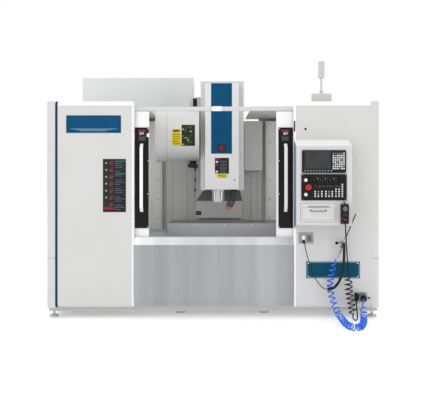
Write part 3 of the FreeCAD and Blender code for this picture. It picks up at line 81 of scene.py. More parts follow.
def surface(name, color, rough=0.5, metallic=0.0, tone=0.03, tone_scale=3.0, stretch=(1, 1, 1), spread=0.06,
            grain=900.0, grain_height=0.02, wear=None, painted_reflection_bands=0.0, emit=0.0, spec=0.5):
    """A procedural finish: a colour that drifts a little, an uneven gloss and a fine grain.

    stretch scales the noise along X, Y and Z, which makes brushed lines. wear is a colour that shows on edges.
    painted_reflection_bands is the strength of broad soft stripes across X, a painted reflection in the brushed
    metal. emit is the strength of a white glow. Noise scales are per metre and grain_height is in millimetres.
    """
    mat = bpy.data.materials.new(name)
    mat.use_nodes = True
    nodes, links = mat.node_tree.nodes, mat.node_tree.links
    shader = nodes["Principled BSDF"]
    shader.inputs["Metallic"].default_value = metallic
    shader.inputs["Specular IOR Level"].default_value = spec
    coords = nodes.new("ShaderNodeTexCoord")
    mapping = nodes.new("ShaderNodeMapping")
    mapping.inputs["Scale"].default_value = stretch
    links.new(coords.outputs["Object"], mapping.inputs["Vector"])

    def noise(scale, detail, source):
        texture = nodes.new("ShaderNodeTexNoise")
        texture.inputs["Scale"].default_value = scale
        texture.inputs["Detail"].default_value = detail
        links.new(source, texture.inputs["Vector"])
        return texture.outputs["Fac"]

    def ramp(source, low, high, start=0.3, end=0.7):
        node = nodes.new("ShaderNodeValToRGB")
        node.color_ramp.elements[0].position = start
        node.color_ramp.elements[1].position = end
        node.color_ramp.elements[0].color = (*low, 1)
        node.color_ramp.elements[1].color = (*high, 1)
        links.new(source, node.inputs["Fac"])
        return node.outputs["Color"]

    tones = noise(tone_scale, 5, mapping.outputs["Vector"])
    dark = [max(0, c * (1 - tone)) for c in color]
    light = [min(1, c * (1 + tone)) for c in color]
    shown = ramp(tones, dark, light)
    # Painted reflection: broad lighter and darker stripes across X are multiplied into the colour.
    if painted_reflection_bands:
        wide = nodes.new("ShaderNodeMapping")
        wide.inputs["Scale"].default_value = (1, 0.02, 0.02)
        links.new(coords.outputs["Object"], wide.inputs["Vector"])
        mix = nodes.new("ShaderNodeMix")
        mix.data_type, mix.blend_type = "RGBA", "MULTIPLY"
        mix.inputs["Factor"].default_value = painted_reflection_bands
        links.new(shown, mix.inputs["A"])
        links.new(ramp(noise(3.1, 2, wide.outputs["Vector"]), (0.45, 0.46, 0.48), (1, 1, 1)), mix.inputs["B"])
        shown = mix.outputs["Result"]
    if wear:
        shape = nodes.new("ShaderNodeNewGeometry")
        edge = ramp(shape.outputs["Pointiness"], (0, 0, 0), (1, 1, 1), 0.52, 0.58)
        mix = nodes.new("ShaderNodeMix")
        mix.data_type = "RGBA"
        links.new(edge, mix.inputs["Factor"])
        links.new(shown, mix.inputs["A"])
        mix.inputs["B"].default_value = (*wear, 1)
        shown = mix.outputs["Result"]
    links.new(shown, shader.inputs["Base Color"])
    gloss = nodes.new("ShaderNodeMapRange")
    gloss.inputs["To Min"].default_value = max(0.02, rough - spread)
    gloss.inputs["To Max"].default_value = min(1, rough + spread)
    links.new(noise(tone_scale * 4, 3, mapping.outputs["Vector"]), gloss.inputs["Value"])
    links.new(gloss.outputs["Result"], shader.inputs["Roughness"])
    bump = nodes.new("ShaderNodeBump")
    bump.inputs["Strength"].default_value = 1
    bump.inputs["Distance"].default_value = grain_height * MM
    links.new(noise(grain, 2, mapping.outputs["Vector"]), bump.inputs["Height"])
    links.new(bump.outputs["Normal"], shader.inputs["Normal"])
    if emit:
        shader.inputs["Emission Color"].default_value = (1, 1, 1, 1)
        shader.inputs["Emission Strength"].default_value = emit
    return mat


WHITE = surface("powder_white", (0.56, 0.56, 0.555), 0.45, tone=0.012, grain=700, grain_height=0.03, spec=0.3)
# Gloss white of the doors, handles and small fittings; on panel and console faces that turn up or sideways it is a
# painted highlight.
GLOSS_WHITE_AND_PAINTED_HIGHLIGHT = surface("gloss_white_and_painted_highlight", (0.8, 0.8, 0.8), 0.3, tone=0.01, grain=500, grain_height=0.01)
HEAD_WHITE = surface("head_white", (0.66, 0.66, 0.655), 0.42, tone=0.012, grain=700, grain_height=0.03, spec=0.3)
INNER = surface("lining_grey", (0.56, 0.56, 0.55), 0.45, tone=0.03, tone_scale=2, grain=600, grain_height=0.02)
# A lighter copy of the lining grey: painted light on the lit rear wall, against the shaded recesses.
LINING_PAINTED_LIGHT = surface("lining_painted_light", (0.72, 0.72, 0.7), 0.45, tone=0.03, tone_scale=2, grain=600)
LIGHT_GREY = surface("light_grey_paint", (0.58, 0.58, 0.57), 0.45, tone=0.02, grain=700)
CABINET = surface("cabinet_paint", (0.66, 0.665, 0.67), 0.4, tone=0.012, grain=800, grain_height=0.03)
CASTING = surface("casting_paint", (0.42, 0.44, 0.45), 0.55, tone=0.05, tone_scale=6, grain=180, grain_height=0.25,
                  wear=(0.5, 0.52, 0.53))
STEEL = surface("ground_steel", (0.6, 0.6, 0.6), 0.3, 0.75, tone=0.06, tone_scale=40, stretch=(1, 1, 6), grain=500)
ZINC = surface("zinc_steel", (0.5, 0.51, 0.52), 0.4, 0.8, tone=0.1, tone_scale=30, grain=300, grain_height=0.02)
APRON = surface("brushed_stainless", (0.4, 0.405, 0.42), 0.36, 0.8, tone=0.05, tone_scale=260,
                stretch=(1, 1, 0.01), spread=0.08, grain=420, grain_height=0.012, painted_reflection_bands=0.6)
# A lighter copy of the brushed stainless: a painted highlight on the apron's upward-facing faces.
APRON_PAINTED_HIGHLIGHT = surface("stainless_painted_highlight", (0.66, 0.665, 0.68), 0.33, 0.7, tone=0.05, tone_scale=260,
                      stretch=(1, 1, 0.01), spread=0.08, grain=420, grain_height=0.012, painted_reflection_bands=0.6)
TABLE_IRON = surface("ground_iron", (0.3, 0.3, 0.3), 0.35, 0.85, tone=0.12, tone_scale=90, stretch=(0.05, 1, 1),
                     grain=500, grain_height=0.02)
TABLE_PAINT = surface("table_paint", (0.42, 0.42, 0.445), 0.4, 0.3, tone=0.03, tone_scale=12, grain=300)
DARK = surface("dark_paint", (0.018, 0.019, 0.02), 0.42, tone=0.2, tone_scale=30, grain=500, grain_height=0.03,
               spec=0.2)
DARK_GREY = surface("grey_metal", (0.13, 0.13, 0.135), 0.45, 0.3, tone=0.08, tone_scale=20, grain=500, spec=0.3)
BLACK = surface("moulded_black", (0.009, 0.009, 0.01), 0.5, tone=0.2, tone_scale=60, grain=900, grain_height=0.05,
                spec=0.15)
GLASS = surface("tinted_window", (0.005, 0.005, 0.005), 0.1, tone=0.2, tone_scale=3, spread=0.03, grain=40,
                grain_height=0.004, spec=0.16)
SCREEN = surface("screen_glass", (0.02, 0.022, 0.025), 0.1, tone=0.4, tone_scale=9, spread=0.02, grain=20,
                 grain_height=0.002, spec=0.45)
RUBBER = surface("black_rubber", (0.012, 0.012, 0.013), 0.6, tone=0.2, tone_scale=50, grain=400, grain_height=0.08,
                 spec=0.2)
BLUE_HOSE = surface("blue_hose", (0.008, 0.13, 0.7), 0.24, tone=0.12, tone_scale=40, grain=300, grain_height=0.01)
NAVY = surface("sign_blue", (0.0035, 0.066, 0.155), 0.4, tone=0.06, tone_scale=8, grain=500, spec=0.06)
PETROL = surface("sign_petrol", (0.003, 0.06, 0.11), 0.4, tone=0.06, tone_scale=8, grain=500, spec=0.08)
STRIPE = surface("stripe_teal", (0.01, 0.035, 0.055), 0.4, tone=0.05, tone_scale=8, grain=500, spec=0.1)
RIM = surface("sign_rim", (0.02, 0.03, 0.05), 0.4, tone=0.05, tone_scale=8, grain=500, spec=0.1)
PALE_BLUE = surface("pale_blue", (0.35, 0.52, 0.62), 0.4, tone=0.03, grain=500)
SIDE_BLUE = surface("side_blue", (0.2, 0.24, 0.33), 0.4, tone=0.03, grain=500, spec=0.2)
RED = surface("moulded_red", (0.62, 0.012, 0.01), 0.28, tone=0.06, tone_scale=40, grain=500, spec=0.3)
LABEL_RED = surface("label_red", (0.4, 0.012, 0.03), 0.5, tone=0.08, tone_scale=30, grain=500, spec=0.1)
YELLOW = surface("label_yellow", (0.62, 0.47, 0.01), 0.5, tone=0.06, tone_scale=30, grain=500, spec=0.1)
GREEN = surface("label_green", (0.022, 0.035, 0.018), 0.5, tone=0.3, tone_scale=60, grain=500, spec=0.1)
OLIVE = surface("label_olive", (0.09, 0.11, 0.05), 0.5, tone=0.3, tone_scale=60, grain=500, spec=0.1)
TEAL = surface("label_teal", (0.03, 0.14, 0.12), 0.5, tone=0.1, tone_scale=40, grain=500, spec=0.1)
SLATE = surface("label_slate", (0.016, 0.02, 0.024), 0.5, tone=0.15, tone_scale=60, grain=500, spec=0.1)
MAROON = surface("label_maroon", (0.06, 0.014, 0.022), 0.5, tone=0.15, tone_scale=60, grain=500, spec=0.1)
DUSK = surface("label_dusk", (0.2, 0.03, 0.05), 0.5, tone=0.15, tone_scale=60, grain=500, spec=0.1)
KHAKI = surface("label_khaki", (0.42, 0.43, 0.34), 0.5, tone=0.1, tone_scale=60, grain=500, spec=0.1)
LINE = surface("label_line", (0.12, 0.14, 0.15), 0.5, tone=0.1, tone_scale=60, grain=500, spec=0.1)
KEY = surface("key_white", (0.6, 0.61, 0.6), 0.45, tone=0.05, tone_scale=80, grain=900, grain_height=0.03, spec=0.2)
KEY_GREY = surface("key_grey", (0.2, 0.22, 0.22), 0.45, tone=0.1, tone_scale=80, grain=900, grain_height=0.03,
                   spec=0.2)
KEY_TEAL = surface("key_teal", (0.03, 0.18, 0.23), 0.45, tone=0.08, tone_scale=80, grain=900, grain_height=0.03,
                   spec=0.2)
KEY_TAN = surface("key_tan", (0.36, 0.24, 0.12), 0.45, tone=0.08, tone_scale=80, grain=900, grain_height=0.03,
                  spec=0.2)
KEY_PINK = surface("key_pink", (0.45, 0.2, 0.2), 0.45, tone=0.08, tone_scale=80, grain=900, grain_height=0.03,
                   spec=0.2)
LENS = surface("lamp_lens", (0.5, 0.51, 0.52), 0.25, tone=0.02, tone_scale=20, grain=300)
CAP_WHITE = surface("cap_white", (0.85, 0.8, 0.83), 0.3, tone=0.02, tone_scale=40, grain=500, spec=0.3)
PLATE_GREY = surface("brushed_grey", (0.27, 0.275, 0.28), 0.4, 0.4, tone=0.25, tone_scale=120, grain=400)
ORANGE = surface("nozzle_orange", (0.75, 0.2, 0.03), 0.4, tone=0.06, tone_scale=60, grain=500)
HOSE_GREY = surface("nozzle_grey", (0.06, 0.075, 0.11), 0.4, tone=0.15, tone_scale=60, grain=500, spec=0.3)


# --- cords -------------------------------------------------------------------------------------------------


def metres(points):
    return [Vector(p) * MM for p in points]


def spline(name, points, radius):
    """A cord's curve: one smooth spline with the route's points as its control points."""
    data = bpy.data.curves.new(name, "CURVE")
    data.dimensions = "3D"
    line = data.splines.new("NURBS")
    line.points.add(len(points) - 1)
    for spot, point in zip(line.points, points):
        spot.co = (*point, 1)
    line.order_u = 3
    line.use_endpoint_u = True
    line.resolution_u = 4
    data.bevel_depth = radius
    data.bevel_resolution = 3
    data.use_fill_caps = True
    item = bpy.data.objects.new(name, data)
    scene.collection.objects.link(item)
    return item


def followed(points):
    """Points along the smooth spline of a route."""
    guide = spline("guide", points, 0)
    guide.data.splines[0].resolution_u = 24
    mesh = bpy.data.meshes.new_from_object(guide)
    line = [v.co.copy() for v in mesh.vertices]
    bpy.data.meshes.remove(mesh)
    bpy.data.objects.remove(guide)
    return line


def helix(points, radius, turns, per_turn=12, taper=0.35):
    """Control points of a curly cord's turns round a route, opening out of and closing into its middle."""
    line = followed(points)
    steps = [0.0]
    for one, other in zip(line, line[1:]):
        steps.append(steps[-1] + (other - one).length)
    total, count, index = steps[-1], int(turns * per_turn), 0
    side = Vector((1, 0, 0))
    result = []
    for i in range(1, count):
        along = total * i / count
        while steps[index + 1] < along:
            index += 1
        span = steps[index + 1] - steps[index]
        spot = line[index].lerp(line[index + 1], (along - steps[index]) / span)
        ahead = (line[index + 1] - line[index]).normalized()
        side = (side - ahead * side.dot(ahead)).normalized()
        other = ahead.cross(side)
        angle = 2 * math.pi * i / per_turn
        grown = min(1, taper + i / per_turn, taper + (count - i) / per_turn)
        result.append(spot + (side * math.cos(angle) + other * math.sin(angle)) * radius * grown)
    return result


AIR_LEAD = metres([(1166, -1125, 590), (1160, -1125, 576.4), (1150, -1123, 562), (1146, -1122, 546)])
AIR_COIL = metres([
    (1146, -1122, 546), (1131, -1118.25, 486), (1110, -1114, 400), (1106, -1114, 320), (1122, -1120, 235),
    (1146, -1138, 160), (1168, -1195, 90), (1192, -1280, 50), (1198, -1380, 38), (1202, -1480, 38),
    (1214, -1565, 38), (1252, -1615, 38), (1302, -1590, 38), (1338, -1500, 38), (1366, -1400, 38),
    (1388, -1315, 40), (1402, -1245, 62), (1410, -1200, 105), (1414, -1170, 160)])
AIR_TAIL = metres([(1414, -1170, 160), (1415.4, -1159.5, 179.3), (1420, -1141, 203), (1427, -1120, 212),
                   (1427, -1100, 212)])
PENDANT_LEAD = metres([
    (1225, -1284, 930), (1225, -1284, 890), (1232, -1262, 820), (1244, -1215, 745), (1256, -1175, 670),
    (1266, -1150, 590), (1276, -1136, 500), (1279, -1130, 411)])
PENDANT_COIL = metres([(1279, -1130, 411), (1281.25, -1125.5, 344.25), (1287, -1128, 270), (1297, -1136, 203),
                       (1308, -1147, 138), (1312, -1160, 68)])
PENDANT_TAIL = metres([
    (1312, -1160, 68), (1313.1, -1163.6, 48.7), (1319, -1169, 30), (1332, -1171, 16), (1350, -1163, 12),
    (1363, -1144, 26), (1368, -1118, 58), (1368, -1092, 98), (1366, -1072, 138), (1366, -1072, 178)])
SERVICE_LEAD = metres([
    (865, -1085, 745), (865, -1110, 745), (868, -1126, 722), (876, -1128, 680), (892, -1118, 615),
    (917, -1110, 530), (942, -1112, 462), (972, -1116, 396), (1006, -1131, 345), (1047.2, -1151, 305.8),
    (1078, -1162, 308)])
SERVICE_SLEEVE = metres([
    (1078, -1162, 308), (1106, -1172, 310), (1134, -1179, 322), (1159, -1182, 345), (1181, -1181, 377),
    (1200, -1177, 415), (1216, -1171, 465), (1227, -1166, 525), (1233, -1161, 600), (1234, -1160, 668),
    (1234, -1160.5, 733)])


def cord(name, points, diameter, mat, nodes):
    """A free cord that stands for CAD nodes: its length and thickness are the real ones, in metres."""
    item = spline(name, points, diameter / 2)
    item.data.materials.append(mat)
    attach(item, "machine_frame")
    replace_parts(item, *nodes)


cord("air_hose", AIR_LEAD[:-1] + helix(AIR_COIL, 0.0285, 30) + AIR_TAIL[1:], 0.012, BLUE_HOSE,
     ["air_lead", "air_coil"])
cord("pendant_cord", PENDANT_LEAD[:-1] + helix(PENDANT_COIL, 0.0335, 8) + PENDANT_TAIL[1:], 0.012, RUBBER,
     ["pendant_lead", "pendant_coil"])
cord("service_wire", SERVICE_LEAD, 0.008, RUBBER, ["service_cord"])
cord("service_sleeve", SERVICE_SLEEVE, 0.026, RUBBER, ["service_cord"])

# --- building small pieces ---------------------------------------------------------------------------------

# The two axes that lie in a surface facing each way.
FRONT = (Vector((1, 0, 0)), Vector((0, 0, 1)))
BACK = (Vector((-1, 0, 0)), Vector((0, 0, 1)))
LEFT = (Vector((0, -1, 0)), Vector((0, 0, 1)))
RIGHT = (Vector((0, 1, 0)), Vector((0, 0, 1)))
TOP = (Vector((1, 0, 0)), Vector((0, 1, 0)))


def facing(side, x, y, z):
    """The matrix of a flat place at x, y, z (mm): two axes lie in the surface, the third points out of it."""
    u, v = side
    w = u.cross(v)
    matrix = Matrix((u, v, w)).transposed().to_4x4()
    matrix.translation = Vector((x, y, z)) * MM
    return matrix


def rounded(width, height, radius, steps=4):
    """The corners of a rounded rectangle round the origin, anticlockwise, in mm."""
    radius = min(radius, width / 2 - 0.01, height / 2 - 0.01)
    points = []
    for quarter, (sx, sy) in enumerate(((1, 1), (-1, 1), (-1, -1), (1, -1))):
        for i in range(steps + 1):
            angle = (quarter + i / steps) * math.pi / 2
            points.append((sx * (width / 2 - radius) + radius * math.cos(angle),
                           sy * (height / 2 - radius) + radius * math.sin(angle)))
    return points


class Piece:
    """Collects closed solids in one mesh, each with its own material."""

    def __init__(self, name, body, slot):
        self.name, self.body, self.slot = name, body, slot
        self.mesh = bmesh.new()
        self.materials = []

    def index(self, mat):
        if mat not in self.materials:
            self.materials.append(mat)
        return self.materials.index(mat)

    def rings(self, matrix, rings, mat, smooth=False):
        """A closed solid through rings of (u, v, w) points in mm."""
        made = [[self.mesh.verts.new(matrix @ (Vector(p) * MM)) for p in ring] for ring in rings]
        number = self.index(mat)
        faces = [self.mesh.faces.new(list(reversed(made[0]))), self.mesh.faces.new(made[-1])]
        for low, high in zip(made, made[1:]):
            for i in range(len(low)):
                j = (i + 1) % len(low)
                face = self.mesh.faces.new((low[i], low[j], high[j], high[i]))
                face.smooth = smooth
                faces.append(face)
        for face in faces:
            face.material_index = number

    def pad(self, side, x, y, z, width, height, thick, mat, radius=2.0, bevel=0.6, sink=0.3):
        """A rounded plate whose back lies sunk into the surface at x, y, z and whose rim is bevelled."""
        bevel = min(bevel, thick * 0.6, width / 4, height / 4)
        outer = rounded(width, height, radius)
        inner = rounded(width - 2 * bevel, height - 2 * bevel, max(radius - bevel, 0.2))
        self.rings(facing(side, x, y, z), [
            [(u, v, -sink) for u, v in outer], [(u, v, thick - bevel) for u, v in outer],
            [(u, v, thick) for u, v in inner]], mat)

    def lathe(self, side, x, y, z, profile, mat, segments=20, smooth=True):
        """A turned solid: profile is (radius, height) pairs in mm from its foot to its tip."""
        rings = [[(r * math.cos(2 * math.pi * i / segments), r * math.sin(2 * math.pi * i / segments), w)
                  for i in range(segments)] for r, w in profile]
        self.rings(facing(side, x, y, z), rings, mat, smooth)

    def washer(self, side, x, y, z, profile, hole, mat, segments=28):
        """A turned ring: profile is its outside, and hole the radius of its bore, which starts 1.4 mm up."""
        turned = profile + [(hole, 1.4), (hole, profile[0][1])]
        place = facing(side, x, y, z)
        made = [[self.mesh.verts.new(place @ (Vector((r * math.cos(2 * math.pi * i / segments),
                                                      r * math.sin(2 * math.pi * i / segments), w)) * MM))
                 for i in range(segments)] for r, w in turned]
        number = self.index(mat)
        for low, high in zip(made, made[1:] + made[:1]):
            for i in range(segments):
                j = (i + 1) % segments
                self.mesh.faces.new((low[i], low[j], high[j], high[i])).material_index = number

    def screw(self, side, x, y, z, radius=6.0, mat=None):
        """A button head screw with a socket."""
        r = radius
        self.lathe(side, x, y, z, [(r, -0.3), (r, 0.18 * r), (0.85 * r, 0.42 * r), (0.55 * r, 0.55 * r),
                                   (0.42 * r, 0.55 * r), (0.4 * r, 0.2 * r)], mat or ZINC, 14)

    def tube(self, points, radius, mat, segments=10):
        """A round bar along points in mm."""
        spots = [Vector(p) for p in points]
        rings, side = [], Vector((0.31, 0.71, 0.63))
        for i, spot in enumerate(spots):
            ahead = (spots[min(i + 1, len(spots) - 1)] - spots[max(i - 1, 0)]).normalized()
            side = (side - ahead * side.dot(ahead)).normalized()
            other = ahead.cross(side)
            rings.append([spot + (side * math.cos(2 * math.pi * k / segments)
                                  + other * math.sin(2 * math.pi * k / segments)) * radius
                          for k in range(segments)])
        self.rings(Matrix.Identity(4), rings, mat, True)

    def done(self):
        bmesh.ops.recalc_face_normals(self.mesh, faces=self.mesh.faces)
        data = bpy.data.meshes.new(self.name)
        self.mesh.to_mesh(data)
        self.mesh.free()
        for mat in self.materials:
            data.materials.append(mat)
        item = bpy.data.objects.new(self.name, data)
        scene.collection.objects.link(item)
        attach(item, self.body)
        return item


# --- finishes of the CAD nodes -----------------------------------------------------------------------------

FINISH = {
    "machine_bed": CASTING, "levelling_feet": ZINC, "column": CASTING, "yz_axis_drives": ZINC,
    "coolant_tank": LIGHT_GREY, "enclosure_frame": WHITE, "left_panel": WHITE, "accent_strip": STRIPE,
    "outer_panels": WHITE, "right_panel": WHITE, "apron": APRON, "inner_guards": INNER,
    "column_cover": LIGHT_GREY, "magazine_cover": LIGHT_GREY, "tool_changer_box": CASTING, "cabinet": CABINET,
    "console": WHITE, "display_unit": BLACK, "operator_panel": BLACK, "pendant_housing": BLACK,
    "air_gun": DARK_GREY, "signal_lamp": LENS, "wall_fittings": NAVY, "left_door": GLOSS_WHITE_AND_PAINTED_HIGHLIGHT,
    "left_window": GLASS, "left_handle": GLOSS_WHITE_AND_PAINTED_HIGHLIGHT, "right_door": GLOSS_WHITE_AND_PAINTED_HIGHLIGHT, "right_window": GLASS,
    "right_handle": GLOSS_WHITE_AND_PAINTED_HIGHLIGHT, "saddle": CASTING, "x_axis_drive": ZINC, "table": TABLE_PAINT,
    "head_casting": CASTING, "head_cover": LIGHT_GREY, "head_front_cover": HEAD_WHITE,
    "spindle_cartridge": STEEL, "spindle_shaft": STEEL, "coolant_nozzles": HOSE_GREY, "magazine_disc": DARK,
    "tool_change_arm": DARK, "x_ballscrew": STEEL, "y_ballscrew": STEEL, "z_ballscrew": STEEL,
    "cabinet_door": CABINET, "estop_button": RED, "start_button": CAP_WHITE, "stop_button": CAP_WHITE,
    "mode_knob": BLACK, "feed_knob": BLACK, "spindle_knob": BLACK, "console_drawer": WHITE,
    "handwheel_dial": BLACK, "axis_selector": BLACK, "step_selector": BLACK, "gun_trigger": ZINC,
}
for name, mat in FINISH.items():
    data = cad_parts[name].data
    data.materials.clear()
    data.materials.append(mat)


def refinish(node, mat, test):
    """Gives the faces of a CAD node whose middle point (mm) and normal pass the test another finish."""
    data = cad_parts[node].data
    data.materials.append(mat)
    number = len(data.materials) - 1
    for face in data.polygons:
        if test(face.center / MM, face.normal):
            face.material_index = number


refinish("wall_fittings", SLATE, lambda p, n: -1060 < p.x < -830 and 1020 < p.z < 1540)
refinish("wall_fittings", PETROL, lambda p, n: 880 < p.x < 1410 and 390 < p.z < 560)
refinish("wall_fittings", PLATE_GREY, lambda p, n: p.x > 810 and (p.z > 725 or p.z < 260))
refinish("wall_fittings", BLACK, lambda p, n: p.y < -1053.5 and p.x > 810 and (p.x < 1384 or p.x > 1480))
refinish("wall_fittings", DARK_GREY, lambda p, n: p.y < -1053.5 and p.x > 1384 and p.z < 260)
# Painted highlight: the apron's upward-facing faces high up get the lighter stainless.
refinish("apron", APRON_PAINTED_HIGHLIGHT, lambda p, n: n.z > 0.05 and p.z > 600)
refinish("table", TABLE_IRON, lambda p, n: n.z > 0.5 or p.z > 846 and abs(n.x) < 0.5 and p.y > -449)
# Painted shadow: the column cover's sloped plate under the head is painted dark grey to stand for the head's shadow.
refinish("column_cover", DARK_GREY, lambda p, n: p.z > 1083 and p.z < 1211 and -200 < p.x < 340 and p.y < 500)
refinish("column_cover", INNER, lambda p, n: p.x > 361)
refinish("column_cover", LIGHT_GREY, lambda p, n: p.x < -95 and p.z > 1211)
refinish("signal_lamp", ZINC, lambda p, n: 2112 < p.z < 2348 and abs(p.x - 1080) < 14)
refinish("signal_lamp", LIGHT_GREY, lambda p, n: p.z <= 2112 or p.z < 2348 and abs(p.x - 1080) >= 14)
# Painted shade: the drum's right end wall is painted near black to stand for the dark gap at its edge.
refinish("magazine_cover", DARK, lambda p, n: p.x > -144)
refinish("air_gun", BLACK, lambda p, n: p.z > 830 or p.x < 1192 and p.z > 700)
refinish("air_gun", ZINC, lambda p, n: p.z < 700 or 750 < p.z < 830 and p.x > 1200)
# Painted highlight: faces of the console, side panels and outer panels that turn upward or sideways get the brighter
# white.
refinish("console", GLOSS_WHITE_AND_PAINTED_HIGHLIGHT, lambda p, n: n.z > 0.2 and n.y < -0.1)
refinish("left_panel", GLOSS_WHITE_AND_PAINTED_HIGHLIGHT, lambda p, n: n.z > 0.12 or n.x > 0.12)
refinish("right_panel", GLOSS_WHITE_AND_PAINTED_HIGHLIGHT, lambda p, n: n.z > 0.12 or n.x < -0.12)
refinish("outer_panels", GLOSS_WHITE_AND_PAINTED_HIGHLIGHT, lambda p, n: p.y < -900 and 0.12 < n.z < 0.97)
refinish("console", SIDE_BLUE, lambda p, n: n.x < -0.5 and p.x < 775 and p.z < 1640)
refinish("coolant_nozzles", ORANGE, lambda p, n: p.z < 1012)
refinish("outer_panels", LIGHT_GREY, lambda p, n: p.y > 619)
# Painted light: the rear wall's faces get the lighter copy of the lining.
refinish("inner_guards", LINING_PAINTED_LIGHT, lambda p, n: 469 < p.y < 475)

# --- signs and plates on the front -------------------------------------------------------------------------

signs = Piece("front_signs", "machine_frame", "blue_paint")
PANEL = -1053  # Y of the plates on the front panels
signs.pad(FRONT, -1141.5, PANEL, 1867.5, 505, 149, 0.4, RIM, 14)
signs.pad(FRONT, -1141.5, PANEL - 0.4, 1867.5, 493, 137, 0.5, NAVY, 10)
for i in range(3):
    signs.pad(FRONT, -1141.5, PANEL - 0.9, 1822 - 9 * i, 440 - 90 * i, 2.5, 0.3, PALE_BLUE, 1)
signs.pad(FRONT, 1147.5, PANEL, 474, 501, 146, 0.4, PALE_BLUE, 22)
signs.pad(FRONT, 1147.5, PANEL - 0.4, 474, 495, 140, 0.5, PETROL, 20)
for x in (912, 1383):
    for z in (412, 536):
        signs.screw(FRONT, x, PANEL - 0.8, z, 5.5, CAP_WHITE)
signs.done()

board = Piece("front_notice_board", "machine_frame", "dark_metal")
board.pad(FRONT, -942.5, PANEL, 1280.5, 215, 503, 0.4, SLATE, 4)
for i in range(7):
    z = 1496 - 66 * i
    board.pad(FRONT, -1021, PANEL - 0.4, z, 40, 56, 0.3, GREEN, 2)
    board.pad(FRONT, -1021, PANEL - 0.7, z, 15, 15, 0.3, KHAKI if i < 6 else MAROON, 7)
    board.pad(FRONT, -968, PANEL - 0.4, z, 54, 56, 0.3, MAROON, 2)
    board.pad(FRONT, -968, PANEL - 0.7, z + 20, 44, 4, 0.3, DUSK, 1)
    for k in range(3):
        board.pad(FRONT, -970 - 3 * k, PANEL - 0.7, z + 4 - 11 * k, 40 - 6 * k, 3, 0.3, LINE, 1)
board.pad(FRONT, -994, PANEL - 0.4, 1062, 100, 16, 0.4, LABEL_RED, 2)
for i in range(24):
    wide = (96, 60, 84, 72, 90, 50)[i % 6]
    board.pad(FRONT, -936 + wide / 2, PANEL - 0.4, 1512 - 20 * i, wide, 12 if i in (0, 6) else 5, 0.3,
              TEAL if i in (0, 6) else LINE if i % 4 else GREEN, 1)
board.done()

plates = Piece("outlet_details", "machine_frame", "zinc_steel")
plates.pad(FRONT, 889, PANEL, 778.5, 143, 104, 0.6, PLATE_GREY, 3)
plates.pad(FRONT, 865, PANEL - 0.6, 782, 30, 44, 9, CAP_WHITE, 12, 3)
plates.pad(FRONT, 920, PANEL - 0.6, 776, 40, 56, 3, DARK_GREY, 4, 1)
for x in (826, 952):
    for z in (735, 822):
        plates.screw(FRONT, x, PANEL - 0.6, z, 4)
plates.pad(FRONT, 1413, PANEL, 219.5, 113, 76, 0.6, PLATE_GREY, 3)
plates.lathe(FRONT, 1427, -1098, 212, [(30, 0), (30, 3), (26, 5), (20, 5), (17, 2), (6.5, 2)], DARK)
for x in (1364, 1464):
    plates.screw(FRONT, x, PANEL - 0.6, 250, 3.5)
plates.done()

dots = Piece("front_plugs", "machine_frame", "black_plastic")
dots.lathe(FRONT, 884, -1050, 1821, [(11, -0.3), (11, 2), (8, 4.5), (3, 5.5)], BLACK)
dots.lathe(FRONT, 1493, -1050, 205, [(10, -0.3), (10, 2), (7, 3), (4, 3), (3.5, 1)], DARK)
dots.pad(FRONT, 780, -1030, 1848, 12, 100, 22, BLACK, 3, 2)
dots.pad(FRONT, -626, -980, 1765, 26, 34, 12, GLOSS_WHITE_AND_PAINTED_HIGHLIGHT, 4, 2)
for x in (-733, -650):
    dots.screw(FRONT, x, -985 if x < -700 else -972, 1946, 6, LIGHT_GREY)
dots.done()

gaps = Piece("panel_seams", "machine_frame", "dark_metal")
for x, z, wide, tall in ((1515, 1100, 2, 1960), (-1512, 1100, 1.5, 1960), (1557, 585, 84, 2)):
    gaps.pad(FRONT, x, -1049, z, wide, tall, 0.3, DARK_GREY, 0.5, 0.1)
gaps.done()

# --- door details ------------------------------------------------------------------------------------------

for name, side, x_glass, x_handle in (("left", 1, (-1438, -621), -689), ("right", -1, (632, 1432), 701)):
    body = name + "_door_body"
    rim = Piece(name + "_window_fixings", body, "zinc_steel")
    edge = x_glass[1] - 9 if side > 0 else x_glass[0] + 9
    for z in (880, 1200, 1520, 1828):
        rim.screw(FRONT, edge, -980, z, 4.5, CAP_WHITE)
        rim.screw(FRONT, sum(x_glass) - edge, -980, z, 4.5, CAP_WHITE)
    for i in range(1, 4):
        x = edge - side * 195 * i
        for z in (880, 1828):
            rim.screw(FRONT, x, -980, z, 4.5, CAP_WHITE)
    rim.done()
    note = Piece(name + "_window_notice", body, "black_plastic")
    note.pad(FRONT, x_handle + 4 * side, -980, 1764, 84, 118, 0.4, SLATE, 3)
    note.pad(FRONT, x_handle + 4 * side, -980.4, 1810, 70, 14, 0.3, LABEL_RED, 1)
    note.pad(FRONT, x_handle - 10, -980.4, 1782, 20, 28, 0.3, KHAKI, 8)
    note.pad(FRONT, x_handle + 14, -980.4, 1784, 16, 22, 0.3, KHAKI, 6)
    for i in range(4):
        note.pad(FRONT, x_handle + 4 * side, -980.4, 1748 - 10 * i, 66 - 8 * (i % 2), 4, 0.3, LINE, 1)
    note.done()

# --- console -----------------------------------------------------------------------------------------------

